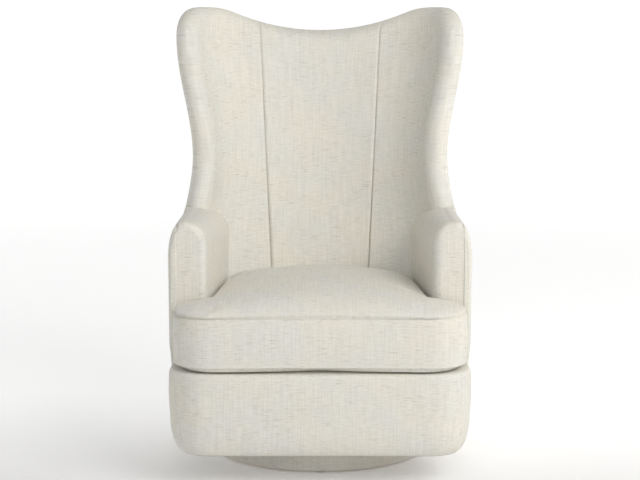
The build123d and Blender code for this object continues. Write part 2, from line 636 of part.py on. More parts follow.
def make_side_frame():
    """Arm panel, wing board and the block that joins them; returned for cutting the foam."""
    panel_top = ARM_TOP - ARM_PANEL_TOP_PAD
    panel_rear = wing_edge_y(ARM_TOP) - PANEL_STOP
    panel = block((PANEL_INNER_X, ARM_FRONT_Y + ARM_PANEL_FRONT_PAD, RAIL_BOTTOM),
                  (PANEL_OUTER_X, panel_rear, panel_top))
    save_pair("arm_panel", panel)
    board_outside = loft(wall_plans(WING_BOARD_INSET))
    board_inside = loft(wall_plans(WING_BOARD_INSET + WING_BOARD))
    lap_front = panel_rear - WING_BLOCK_LAP
    lap_top = ARM_TOP - ARM_OUTER_ROUND
    lap_bottom = lap_top - WING_BLOCK_HEIGHT
    board_top = EAR_TOP - WING_BOARD_TOP_PAD
    points = [
        (lap_front, lap_bottom), (lap_front, lap_top), (panel_rear + WING_BOARD_EDGE, lap_top),
        (wing_edge_y(ARM_TOP) + WING_BOARD_EDGE, ARM_TOP),
        (wing_edge_y(board_top) + WING_BOARD_EDGE, board_top),
        (wing_edge_y(board_top) + WING_BOARD_EDGE + WING_BOARD_WIDTH, board_top),
        (wing_edge_y(ARM_TOP) + WING_BOARD_EDGE + WING_BOARD_WIDTH, ARM_TOP),
        (wing_edge_y(ARM_TOP) + WING_BOARD_WIDTH, lap_bottom)]
    board = (board_outside - board_inside) & prism_x(points, 0, REACH)
    save_pair("wing_board", board)
    spacer = block((PANEL_OUTER_X, lap_front, lap_bottom), (REACH, panel_rear, lap_top)) & board_inside
    save_pair("wing_block", spacer)
    return [panel, board, spacer]


def make_upholstery(back_frame, side_frame):
    """Border, arms, back and outside covers over the frames."""
    lining = outer_body(COVER)
    top = top_outline(0)

    border_room = block((-REACH, -REACH, 0), (REACH, BORDER_SEAM_Y, BORDER_TOP))
    round_top = BODY_BOTTOM + BOTTOM_ROUND_HEIGHT
    save("front_border_cover", outside_cloth(border_room, (BODY_BOTTOM, round_top, BORDER_TOP)))
    border_hollow = block((-PANEL_INNER_X, FRONT_RAIL_Y, 0), (PANEL_INNER_X, REACH, BORDER_TOP))
    foam_room = block((-REACH, -REACH, BOARD_BOTTOM), (REACH, BORDER_SEAM_Y, BORDER_TOP))
    save("front_border_foam", (lining & foam_room) - border_hollow)

    back_shape = (lining - inner_space(0)) & back_outline(0) & top
    back_fill = (lining - inner_space(COVER)) & back_outline(COVER) & top_outline(COVER)
    side_pieces = [shape for right in side_frame for shape in both_sides(right)]
    save("back_foam", back_fill - back_frame - side_pieces)
    skin = back_shape - back_fill
    seam_top = SEAM_LOW + SEAM_SPLAY * (LOFT_TOP - CUSHION_UPPER_SEAM)
    seam_bottom = SEAM_LOW + SEAM_SPLAY * (UPHOLSTERY_BOTTOM - CUSHION_UPPER_SEAM)
    panel = Polyline([
        (-seam_bottom, UPHOLSTERY_BOTTOM - REST), (seam_bottom, UPHOLSTERY_BOTTOM - REST),
        (seam_top, LOFT_TOP), (-seam_top, LOFT_TOP)], close=True)
    middle = extrude(Plane.XZ * make_face(panel), REACH, both=True)
    save("inside_back_middle", skin & middle)
    right_half = block((0, -REACH, 0), (REACH, REACH, LOFT_TOP))
    save_pair("inside_wing_cover", (skin - middle) & right_half)

    arm_room = (arm_form(0) & lining) - back_shape
    arm_fill = (arm_form(COVER) & lining) - back_shape
    save_pair("arm_cover", arm_room - arm_fill)
    save_pair("arm_foam", arm_fill - side_frame)

    side_top = ARM_TOP - SIDE_CLOTH_DROP
    side_view = Polyline([
        (BORDER_SEAM_Y, 0), (BORDER_SEAM_Y, side_top), (wing_edge_y(side_top), side_top),
        (wing_edge_y(LOFT_TOP), LOFT_TOP), (REACH, LOFT_TOP), (REACH, 0)], close=True)
    face = make_face(side_view)
    bend = face.vertices().sort_by_distance((wing_edge_y(side_top), side_top))[0]
    face = fillet(bend, ARM_OUTER_ROUND)
    side_room = extrude(Plane.YZ.offset(BACK_SEAM) * face, REACH)
    levels = (BODY_BOTTOM, round_top, side_top, LOFT_TOP)
    save_pair("side_cover", outside_cloth(side_room & top, levels))
    rear_room = block((-BACK_SEAM, 0, 0), (BACK_SEAM, REACH, LOFT_TOP))
    save("outside_back_cover", outside_cloth(rear_room & top, levels))

    hole = RACE_RADIUS + RACE_WIDTH / 2 + BODY_CLEARANCE
    sheet_top = BODY_BOTTOM - REST
    underside = outer_plan(BODY_BOTTOM, BOTTOM_ROUND_WIDTH + COVER / 2)
    sheet = extrude(Pos(0, 0, -REST) * underside, DECK_CLOTH, dir=(0, 0, -1))
    save("dust_cover", sheet - disc(hole, sheet_top - DECK_CLOTH, sheet_top))


def crown_block(inset):
    """Crowned slab: sections across the seat, each with a flat base and an arched top."""
    half = BODY_HALF_WIDTH
    edge = CUSHION_UPPER_SEAM - inset
    base = CUSHION_BOTTOM + inset
    rear = SEAT_BACK_Y - CUSHION_REAR_GAP
    middle = (FRONT_Y + rear) / 2
    reach = (rear - FRONT_Y) / 2
    sections = []
    for step in range(CROWN_STEPS + 1):
        s = -cos(radians(180 * step / CROWN_STEPS))
        y = middle + s * reach
        height = CUSHION_EDGE_RISE + CUSHION_CROWN * (1 - abs(s) ** CUSHION_FULLNESS)
        edges = [
            Line((-half, y, base), (half, y, base)),
            Line((half, y, base), (half, y, edge)),
            ThreePointArc((half, y, edge), (0, y, edge + height), (-half, y, edge)),
            Line((-half, y, edge), (-half, y, base)),
        ]
        sections.append(Face(Wire(edges)))
    return loft(sections)


def cushion_form(inset):
    """T-shaped crowned cushion: a front bar before the arms and a body between them."""
    z = CUSHION_BOTTOM
    half = BODY_HALF_WIDTH - CUSHION_EAR_INSET - inset
    front = FRONT_Y + CUSHION_SETBACK + inset
    rear = ARM_FRONT_Y - CUSHION_EAR_GAP - inset
    corner = CUSHION_CORNER - inset
    front_x = half - corner
    bar = [
        ThreePointArc((-front_x, front, z), (0, front + CUSHION_DRAW, z), (front_x, front, z)),
        arc((front_x, front + corner), corner, -90, 0, z),
        Line((half, front + corner, z), (half, rear, z)),
        Line((half, rear, z), (-half, rear, z)),
        Line((-half, rear, z), (-half, front + corner, z)),
        arc((-front_x, front + corner), corner, 180, 270, z),
    ]
    between = seat_plan(z, CUSHION_SIDE_GAP + inset, CUSHION_REAR_GAP + inset)
    between -= Pos(0, rear - RAIL_THICKNESS - REACH, z) * Rectangle(2 * REACH, 2 * REACH)
    plan = Face(Wire(bar)) + between
    return extrude(plan, REACH, dir=(0, 0, 1)) & crown_block(inset)


def arc_strip(radius, thickness, bottom, top, start, end):
    """Upright strip along the rounded rear of the cushion, between two angles."""
    center_y = SEAT_BACK_Y - crown_arc(BODY_HALF_WIDTH - WING_THICKNESS, WING_PROJECTION, INSIDE_CORNER)
    edges = [
        arc((0, center_y), radius, start, end, bottom),
        arc((0, center_y), radius + thickness, start, end, bottom),
    ]
    edges += [Line(edges[0] @ 0, edges[1] @ 0), Line(edges[0] @ 1, edges[1] @ 1)]
    return extrude(Face(Wire(edges)), top - bottom, dir=(0, 0, 1))


def make_cushion():
    """Foam core, three-piece cover and the zip along its rear."""
    outside = cushion_form(0)
    core = cushion_form(COVER)
    save("cushion_foam", core)
    cover = outside - core
    top_room = block((-REACH, -REACH, CUSHION_UPPER_SEAM), (REACH, REACH, EAR_TOP))
    bottom_room = block((-REACH, -REACH, 0), (REACH, REACH, CUSHION_LOWER_SEAM))
    save("cushion_top_cover", cover & top_room)
    save("cushion_bottom_cover", cover & bottom_room)
    save("cushion_band", cover - top_room - bottom_room)
    crown = crown_arc(BODY_HALF_WIDTH - WING_THICKNESS, WING_PROJECTION, INSIDE_CORNER)
    radius = crown - CUSHION_REAR_GAP + SLIP
    middle = (CUSHION_LOWER_SEAM + CUSHION_UPPER_SEAM) / 2
    save("cushion_zip", arc_strip(
        radius, ZIP_THICKNESS, middle - ZIP_WIDTH / 2, middle + ZIP_WIDTH / 2,
        90 - ZIP_ANGLE, 90 + ZIP_ANGLE))
    slider_angle = degrees(SLIDER_WIDTH / crown)
    save("zip_slider", arc_strip(
        radius + ZIP_THICKNESS + SLIP, SLIDER_THICKNESS, middle - SLIDER_HEIGHT / 2,
        middle + SLIDER_HEIGHT / 2, 90 + ZIP_ANGLE - slider_angle, 90 + ZIP_ANGLE))


os.makedirs("parts", exist_ok=True)
make_plinth()
make_swivel()
make_seat_frame()
make_deck()
make_upholstery(make_back_frame(), make_side_frame())
make_cushion()
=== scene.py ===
"""Looks of a high-backed swivel chair with wings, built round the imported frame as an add-on run as a script.

Every cover is a surface on a parameter grid. Plans of the body are three tangent arcs, heights are
metres above the floor, the front faces -Y.
"""

import math

import bmesh
import bpy
import numpy as np
from bpy.props import FloatProperty, FloatVectorProperty, IntProperty, PointerProperty
from bpy.types import Operator, Panel, PropertyGroup
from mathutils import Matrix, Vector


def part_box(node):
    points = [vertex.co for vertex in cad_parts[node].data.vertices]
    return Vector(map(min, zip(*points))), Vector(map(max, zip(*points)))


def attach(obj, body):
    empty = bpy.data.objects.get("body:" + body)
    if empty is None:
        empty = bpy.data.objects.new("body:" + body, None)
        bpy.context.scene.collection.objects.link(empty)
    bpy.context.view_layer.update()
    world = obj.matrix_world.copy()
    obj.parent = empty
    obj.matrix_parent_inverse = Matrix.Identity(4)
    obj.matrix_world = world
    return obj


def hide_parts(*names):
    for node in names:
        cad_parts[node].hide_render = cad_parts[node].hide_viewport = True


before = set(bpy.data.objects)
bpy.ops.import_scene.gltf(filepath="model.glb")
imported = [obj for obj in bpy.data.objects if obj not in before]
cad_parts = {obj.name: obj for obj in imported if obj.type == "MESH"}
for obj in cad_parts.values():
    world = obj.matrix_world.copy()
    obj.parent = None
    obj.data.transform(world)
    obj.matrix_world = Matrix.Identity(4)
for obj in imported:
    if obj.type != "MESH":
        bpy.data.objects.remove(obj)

bl_info = {
    "name": "Winged swivel chair",
    "version": (1, 0, 0),
    "blender": (4, 5, 0),
    "location": "3D View > Sidebar > Chair",
    "description": "Covers, cushion, frame finishes and stage of a winged swivel chair",
    "category": "Object",
}

UV_NAME = "weave"
RIM_COUNT = 10              # points across half of a rolled edge
RIM_CREST = 0.5             # crest of a rolled edge between inside (0) and outside (1)
RIM_LEVEL = 0.9             # level where the rim's share of a wing is measured
WEAVE_LEVEL = 0.8           # level where the weave of the inside back has its true width
ARM_TUCK = 0.0045           # arm's outer face inside the side cover
ARM_BLEND = 0.07            # run over which the back's side turns into an arm's outer face
CUSHION_CENTER = np.array([0.0, -0.335])
SEAM_INSET = 0.003          # cushion's outline to its seams
UPPER_SEAM_REACH = 0.0026   # width of the cloth drawn in at the upper seam
LOWER_SEAM_REACH = 0.0028   # width of the raised lower seam


# Settings

def length(name, description, default):
    """A length in metres."""
    return FloatProperty(name=name, description=description, default=default, unit="LENGTH", min=0)


class ChairForm(PropertyGroup):
    """Shape of the chair."""

    body_half: length("Body half width", "Half width of the body below the arms", 0.3625)
    foot_draw: length("Foot draw", "Draw-in of the sides at the border", 0.005)
    waist_half: length("Waist half width", "Half width above the arms", 0.331)
    wing_half: length("Wing half width", "Half width across the wing tops", 0.381)
    shoulder_z: length("Shoulder level", "Where the sides start drawing in", 0.5)
    waist_z: length("Waist level", "Narrowest level of the back", 0.735)
    wing_z: length("Wing level", "Widest level of the wings", 1.06)
    bottom_z: length("Body bottom", "Lower edge of the body", 0.076)
    deck_z: length("Deck level", "Foot of the inside covers", 0.2689)
    rear_foot: length("Rear foot", "Depth of the outside back at the lower edge", 0.29)
    rear_rake: FloatProperty(name="Rear rake", description="Lean of the outside back", default=0.1366)
    seat_back: length("Inside foot", "Depth of the inside back behind the cushion", 0.115)
    back_rake: FloatProperty(name="Back rake", description="Lean of the inside back", default=0.33)
    bend_z: length("Bend level", "Middle of the bend of the inside back", 0.4189)
    bend_half: length("Bend half length", "Half the height of the bend", 0.06)
    wing_depth: length("Wing projection", "Wing edge ahead of the inside back", 0.185)
    wing_wall: length("Wing thickness", "Thickness of the wings", 0.062)
    inner_corner: length("Inside corner", "Plan radius of the inside corners", 0.16)
    outer_depth: length("Outside depth", "Depth of the rounded outside back", 0.29)
    outer_corner: length("Outside corner", "Plan radius of the outside corners", 0.21)
    ear_top: length("Ear top", "Top of the wings", 1.125)
    top_dip: length("Top dip", "Drop of the top edge at the middle", 0.061)
    ear_center: length("Ear centre", "Sideways place of the ear tops", 0.3)
    ear_arc: length("Ear arc", "Radius of the ear tops", 0.15)
    ear_corner: length("Ear corner", "Radius of the outer ear corners", 0.062)
    ear_round: length("Ear front round", "Radius of the ear corner seen from the side", 0.06)
    rim_depth: length("Rim depth", "Depth of the rolled edge", 0.032)
    seam_low: length("Seam place", "Sideways place of the back seams at the cushion", 0.124)
    seam_splay: FloatProperty(name="Seam splay", description="Spread of the back seams", default=0.056)
    seam_base_z: length("Seam base", "Level where the seam place is measured", 0.409)
    seam_depth: length("Seam depth", "Depth that a seam draws the cloth in", 0.0022)
    seam_reach: length("Seam reach", "Width of the drawn-in cloth", 0.0026)
    back_seam: length("Outside seam", "Sideways place of the outside back seams", 0.23)
    cloth: length("Cloth", "Thickness of a cover", 0.003)
    front_y: FloatProperty(name="Front", description="Front of the body", default=-0.425, unit="LENGTH")
    border_y: FloatProperty(name="Border seam", description="Border to side seam", default=-0.3, unit="LENGTH")
    border_top: length("Border top", "Top of the front border", 0.275)
    front_corner: length("Front corner", "Plan radius of the front corners", 0.1)
    round_width: length("Lower round width", "Width of the rounded lower edge", 0.030)
    round_height: length("Lower round height", "Height of the rounded lower edge", 0.085)
    arm_top: length("Arm top", "Top of the arms", 0.616)
    arm_front: FloatProperty(name="Arm front", description="Front of the arms", default=-0.295, unit="LENGTH")
    arm_inner_front: length("Arm inner front", "Inner face of an arm at its front", 0.2725)
    arm_inner_rear: length("Arm inner rear", "Inner face of an arm at the back", 0.2395)
    arm_rear: FloatProperty(name="Arm rear", description="Where the arms meet the back", default=0.066,
                            unit="LENGTH")
    arm_seam_z: length("Arm seam level", "Upper edge of the side cover", 0.608)
    arm_roll: length("Arm roll", "Radius of the front edge of an arm", 0.016)
    arm_seam_x: length("Arm seam place", "Sideways place of the seam on the arm's front", 0.342)


class CushionForm(PropertyGroup):
    """Shape of the loose seat cushion."""

    bottom_z: length("Bottom", "Underside", 0.2805)
    lower_seam: length("Lower seam", "Level of the lower seam", 0.2905)
    upper_seam: length("Upper seam", "Level of the upper seam", 0.4055)
    crown: length("Crown", "Rise of the top over its edge", 0.0425)
    front_y: FloatProperty(name="Front", description="Front of the cushion", default=-0.422, unit="LENGTH")
    ear_half: length("Ear half width", "Half width across the ears", 0.3495)
    ear_rear: FloatProperty(name="Ear rear", description="Rear of the ears", default=-0.301, unit="LENGTH")
    corner: length("Front corner", "Plan radius of the front corners", 0.09)
    side_gap: length("Side gap", "Gap to the arms", 0.004)
    rear_gap: length("Rear gap", "Gap to the back", 0.006)
    voxel: length("Voxel", "Size of the remeshed cells", 0.0065)
    pressure: FloatProperty(name="Pressure", description="Inside pressure of the cloth", default=4.0)
    steps: IntProperty(name="Steps", description="Frames of the cloth simulation", default=20)
    cap: length("Cap", "Furthest a point may move", 0.014)
    edge_rise: length("Edge rise", "Rise of the top close to its seam", 0.016)
    edge_width: length("Edge width", "Width of the rounded edge of the top", 0.04)
    seam_depth: length("Seam depth", "Depth that the upper seam draws the cloth in", 0.010)
    lip: length("Lip", "Height of the raised lower seam", 0.0012)


class FabricLook(PropertyGroup):
    """Look of the cover fabric."""

    warm: FloatVectorProperty(name="Warm", description="Warm ground colour", subtype="COLOR", size=4,
                              default=(0.81, 0.782, 0.692, 1))
    cool: FloatVectorProperty(name="Cool", description="Cool ground colour", subtype="COLOR", size=4,
                              default=(0.785, 0.775, 0.72, 1))
    slub: FloatVectorProperty(name="Slub", description="Dark slub threads", subtype="COLOR", size=4,
                              default=(0.60, 0.572, 0.495, 1))
    pale: FloatVectorProperty(name="Pale", description="Pale threads", subtype="COLOR", size=4,
                              default=(0.88, 0.855, 0.79, 1))
    thread: length("Thread", "Pitch of the weave", 0.0014)
    sheen: FloatProperty(name="Sheen", description="Sheen weight", default=0.12, min=0, max=1)
    bump: FloatProperty(name="Bump", description="Strength of the weave's relief", default=0.45, min=0, max=1)


class StageLook(PropertyGroup):
    """Camera, floor and light."""

    camera_place: FloatVectorProperty(name="Camera", description="Camera place", default=(0, -3.9, 1.08),
                                      subtype="TRANSLATION")
    camera_tilt: FloatProperty(name="Tilt", description="Camera turn about X", default=math.radians(82),
                               subtype="ANGLE")
    lens: FloatProperty(name="Lens", description="Focal length in millimetres", default=86.46)
    key: FloatProperty(name="Key light", description="Power of the key light", default=76.0)
    side: FloatProperty(name="Side light", description="Power of the light on the right", default=15.0)
    front: FloatProperty(name="Front light", description="Power of the light near the camera", default=26.0)
    world: FloatProperty(name="World", description="Strength of the light from above", default=0.33)
    glow: FloatProperty(name="Glow", description="Light given off by the far backdrop", default=0.38)
    floor: FloatVectorProperty(name="Floor", description="Colour of the floor", subtype="COLOR", size=4,
                               default=(0.93, 0.93, 0.93, 1))


# Formulas of the body

def smooth(t):
    """Level at both ends, 0 to 1."""
    t = np.clip(t, 0, 1)
    return t * t * (3 - 2 * t)


def half_width(form, z):
    """Half width of the body by height: drawn in at the border, straight, a waist, then the wings' flare."""
    waist = smooth((z - form.shoulder_z) / (form.waist_z - form.shoulder_z))
    flare = smooth((z - form.waist_z) / (form.wing_z - form.waist_z))
    straight_z, ease = form.border_top + 0.055, 0.06
    foot = form.foot_draw * smooth((straight_z - z) / ease)
    low = form.body_half - foot + (form.waist_half - form.body_half) * waist
    return low + (form.wing_half - form.waist_half) * flare


def rear_y(form, z):
    """Middle of the outside back by height."""
    return form.rear_foot + form.rear_rake * (z - form.bottom_z)


def inside_y(form, z):
    """Middle of the inside back by height: upright, a soft bend, then a straight lean."""
    u = z - form.bend_z
    bend = form.bend_half
    soft = form.back_rake * np.clip(u + bend, 0, 2 * bend) ** 2 / (4 * bend)
    return form.seat_back + soft + form.back_rake * np.maximum(u - bend, 0)


def arch_parts(half, depth, corner):
    """Crown radius, join angle and the lengths of the crown and corner arcs of a plan arch."""
    crown = ((half - corner) ** 2 + depth ** 2 - corner ** 2) / (2 * (depth - corner))
    join = np.arctan2(crown - depth, half - corner)
    return crown, join, crown * (math.pi / 2 - join), corner * join


def arch_point(half, crown_y, depth, corner, run):
    """Point of a plan arch at a run from its middle: crown arc, corner arc, then straight to the front."""
    crown, join, crown_run, corner_run = arch_parts(half, depth, corner)
    side = np.where(run < 0, -1.0, 1.0)
    run = np.abs(run)
    on_crown = run <= crown_run
    turn = np.where(on_crown, math.pi / 2 - run / crown, np.maximum(join - (run - crown_run) / corner, 0))
    x = np.where(on_crown, crown * np.cos(turn), half - corner + corner * np.cos(turn))
    y = np.where(on_crown, crown_y - crown + crown * np.sin(turn), crown_y - depth + corner * np.sin(turn))
    y = y - np.maximum(run - crown_run - corner_run, 0)
    return side * x, y


def inner_arch(form, z):
    """Half width, crown place, depth and corner of the inside plan by height."""
    return half_width(form, z) - form.wing_wall, inside_y(form, z), form.wing_depth, form.inner_corner


def inner_run(form, z):
    """Run from the middle of the inside back to the wing edge."""
    half, _, depth, corner = inner_arch(form, z)
    _, _, crown_run, corner_run = arch_parts(half, depth, corner)
    return crown_run + corner_run


def outer_inset(form, z):
    """Draw-in of the rounded lower edge by height, a quarter ellipse."""
    rise = np.clip(1 - (z - form.bottom_z) / form.round_height, 0, 1)
    return form.round_width * (1 - np.sqrt(1 - rise ** 2))


def outer_arch(form, z):
    """Half width, crown place, depth and corner of the outside plan by height."""
    inset = outer_inset(form, z)
    return (half_width(form, z) - inset, rear_y(form, z) - inset,
            form.outer_depth - inset, form.outer_corner - inset)


def outer_run(form, z):
    """Run from the middle of the outside back to the level of the wing edge."""
    half, crown_y, depth, corner = outer_arch(form, z)
    _, _, crown_run, corner_run = arch_parts(half, depth, corner)
    return crown_run + corner_run + (crown_y - depth) - (inside_y(form, z) - form.wing_depth)


def shell_point(form, q, z, w):
    """Point of the back: q from -1 to 1 across between the wing edges, w from inside (0) to outside (1)."""
    xi, yi = arch_point(*inner_arch(form, z), q * inner_run(form, z))
    xo, yo = arch_point(*outer_arch(form, z), q * outer_run(form, z))
    return np.stack([xi + (xo - xi) * w, yi + (yo - yi) * w, z + 0 * xi], -1)


def top_edge(form, x):
    """Height of the top edge by sideways place: a dip arc, ear arcs and rounded outer corners."""
    x = np.abs(x)
    dip = (form.ear_center ** 2 - 2 * form.ear_arc * form.top_dip + form.top_dip ** 2) / (2 * form.top_dip)
    dip_z = form.ear_top - form.top_dip + dip
    ear_z = form.ear_top - form.ear_arc
    join = form.ear_center * dip / (dip + form.ear_arc)
    low = dip_z - np.sqrt(np.maximum(dip ** 2 - x ** 2, 0))
    inward = form.ear_center - np.minimum(x, form.ear_center)
    ear = ear_z + np.sqrt(np.maximum(form.ear_arc ** 2 - inward ** 2, 0))
    corner_x, steepest = form.wing_half - form.ear_corner, 0.985
    over = np.clip((x - corner_x) / form.ear_corner, 0, steepest)
    drop = form.ear_corner * (1 - np.sqrt(1 - over ** 2))
    return np.where(x < join, low, ear) - drop


def top_level(form, q, w):
    """Level of the top edge over a place of the back, found by repeated substitution."""
    z = np.full(np.broadcast(q, w).shape, form.ear_top)
    for _ in range(6):
        z = top_edge(form, shell_point(form, q, z, w)[..., 0])
    return z


def rim_distance(form, s, t):
    """Distance from the edge of the back: s from the wing edge, t from the top edge, corner rounded."""
    r = form.ear_round
    corner = r - np.hypot(np.maximum(r - s, 0), np.maximum(r - t, 0))
    return np.where((s < r) & (t < r), corner, np.minimum(s, t))


def rim_spacing(depth, count):
    """Distances from an edge that follow a rolled edge evenly, largest first."""
    return depth * (1 - np.sin(np.linspace(0, math.pi / 2, count)))


def seam_q(form, z):
    """Place of the right back seam across the inside back."""
    half, _, depth, corner = inner_arch(form, z)
    crown, _, _, _ = arch_parts(half, depth, corner)
    x = form.seam_low + form.seam_splay * (z - form.seam_base_z)
    return crown * np.arcsin(x / crown) / inner_run(form, z)


def arm_inner_x(form, y):
    """Inner face of the right arm by depth."""
    run = (y - form.arm_front) / (form.arm_rear - form.arm_front)
    return form.arm_inner_front + (form.arm_inner_rear - form.arm_inner_front) * run


def arm_outer_x(form, z):
    """Outer face of an arm by height: full, then rounded at the top."""
    wide, tall = 0.034, 0.09
    rise = np.clip((z - (form.arm_top - tall)) / tall, 0, 1)
    return form.body_half - wide * (1 - np.sqrt(1 - rise ** 2))


# Meshes

def grid_faces(rows, cols, close=False):
    """Quads of a grid of rows by columns, optionally closed across the columns."""
    index = np.arange(rows * cols).reshape(rows, cols)
    if close:
        index = np.concatenate([index, index[:, :1]], 1)
    a, b = index[:-1, :-1].ravel(), index[:-1, 1:].ravel()
    c, d = index[1:, 1:].ravel(), index[1:, :-1].ravel()
    return np.stack([a, b, c, d], -1)


def sheet_mesh(name, patches, flip=False):
    """Mesh welded from grids.

    Each patch is points (rows, cols, 3), cloth places (rows, cols, 2) and whether its columns close.
    """
    points, places, faces, start = [], [], [], 0
    for grid, uv, close in patches:
        rows, cols = grid.shape[:2]
        faces.append(grid_faces(rows, cols, close) + start)
        points.append(grid.reshape(-1, 3))
        places.append(uv.reshape(-1, 2))
        start += rows * cols
    points, places, faces = np.concatenate(points), np.concatenate(places), np.concatenate(faces)
    if flip:
        faces = faces[:, ::-1]
    mesh = bpy.data.meshes.new(name)
    mesh.from_pydata(points.tolist(), [], faces.tolist())
    layer = mesh.uv_layers.new(name=UV_NAME)
    corner = np.zeros(len(mesh.loops), np.int32)
    mesh.loops.foreach_get("vertex_index", corner)
    layer.data.foreach_set("uv", places[corner].astype(np.float32).ravel())
    work = bmesh.new()
    work.from_mesh(mesh)
    bmesh.ops.remove_doubles(work, verts=work.verts, dist=1e-5)
    bmesh.ops.dissolve_degenerate(work, edges=work.edges, dist=1e-6)
    work.to_mesh(mesh)
    work.free()
    mesh.shade_smooth()
    obj = bpy.data.objects.new(name, mesh)
    bpy.context.scene.collection.objects.link(obj)
    return obj


def both_sides(right):
    """Names and patches of a piece on the right and of its mirror image on the left, columns turned round."""
    mirror = np.array([-1.0, 1.0, 1.0])
    left = [(grid[:, ::-1] * mirror, uv[:, ::-1], close) for grid, uv, close in right]
    return ("right", right), ("left", left)


def thicken(obj, thickness):
    """Gives a cover its thickness, inwards."""
    solid = obj.modifiers.new("Thickness", "SOLIDIFY")
    solid.thickness = thickness
    solid.offset = -1
    solid.use_even_offset = False


def apply_modifiers(obj):
    """Bakes the modifiers into the mesh."""
    graph = bpy.context.evaluated_depsgraph_get()
    mesh = bpy.data.meshes.new_from_object(obj.evaluated_get(graph), depsgraph=graph)
    obj.modifiers.clear()
    obj.data = mesh


def dress(obj, material, body, nodes):
    """Gives a piece its material, body and the solids it stands for."""
    obj.data.materials.clear()
    obj.data.materials.append(material)
    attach(obj, body)
    if nodes:
        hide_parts(*nodes)
    return obj


def seam_draw(form, distance):
    """Depth that cloth is drawn in near a seam."""
    return form.seam_depth * np.exp(-(distance / form.seam_reach) ** 2)


def clustered(count):
    """Numbers from 0 to 1, closer together at both ends."""
    t = np.linspace(0, 1, count)
    even, eased = 0.35, 0.65
    return even * t + eased * (1 - np.cos(math.pi * t)) / 2


# Materials

def node_material(name):
    """Empty procedural material with its shader and the tools to wire it."""
    material = bpy.data.materials.get(name) or bpy.data.materials.new(name)
    material.use_nodes = True
    nodes, links = material.node_tree.nodes, material.node_tree.links
    nodes.clear()
    shader = nodes.new("ShaderNodeBsdfPrincipled")
    output = nodes.new("ShaderNodeOutputMaterial")
    links.new(shader.outputs["BSDF"], output.inputs["Surface"])
    return material, nodes, links, shader


def scaled(nodes, links, source, scale):
    """Coordinates stretched by a scale."""
    mapping = nodes.new("ShaderNodeMapping")
    mapping.inputs["Scale"].default_value = scale
    links.new(source, mapping.inputs["Vector"])
    return mapping.outputs["Vector"]


def noise(nodes, links, vector, scale, detail, rough=0.5):
    """Noise value on coordinates."""
    texture = nodes.new("ShaderNodeTexNoise")
    texture.inputs["Scale"].default_value = scale
    texture.inputs["Detail"].default_value = detail
    texture.inputs["Roughness"].default_value = rough
    links.new(vector, texture.inputs["Vector"])
    return texture.outputs["Fac"]


def ramp(nodes, links, value, stops):
    """Colour ramp over a value; stops are (place, colour)."""
    node = nodes.new("ShaderNodeValToRGB")
    elements = node.color_ramp.elements
    while len(elements) < len(stops):
        elements.new(0.5)
    for element, (place, color) in zip(elements, stops):
        element.position = place
        element.color = color
    links.new(value, node.inputs["Fac"])
    return node.outputs["Color"]


def mixed(nodes, links, factor, first, second, kind="MIX"):
    """Mix of two colours; each is a socket or a fixed colour."""
    node = nodes.new("ShaderNodeMix")
    node.data_type = "RGBA"
    node.blend_type = kind
    sockets = {"Factor": node.inputs[0], "A": node.inputs[6], "B": node.inputs[7]}
    for key, value in (("Factor", factor), ("A", first), ("B", second)):
        if isinstance(value, bpy.types.NodeSocket):
            links.new(value, sockets[key])
        else:
            sockets[key].default_value = value
    return node.outputs[2]


def grey(value):
    """Grey of one value, opaque."""
    return value, value, value, 1.0


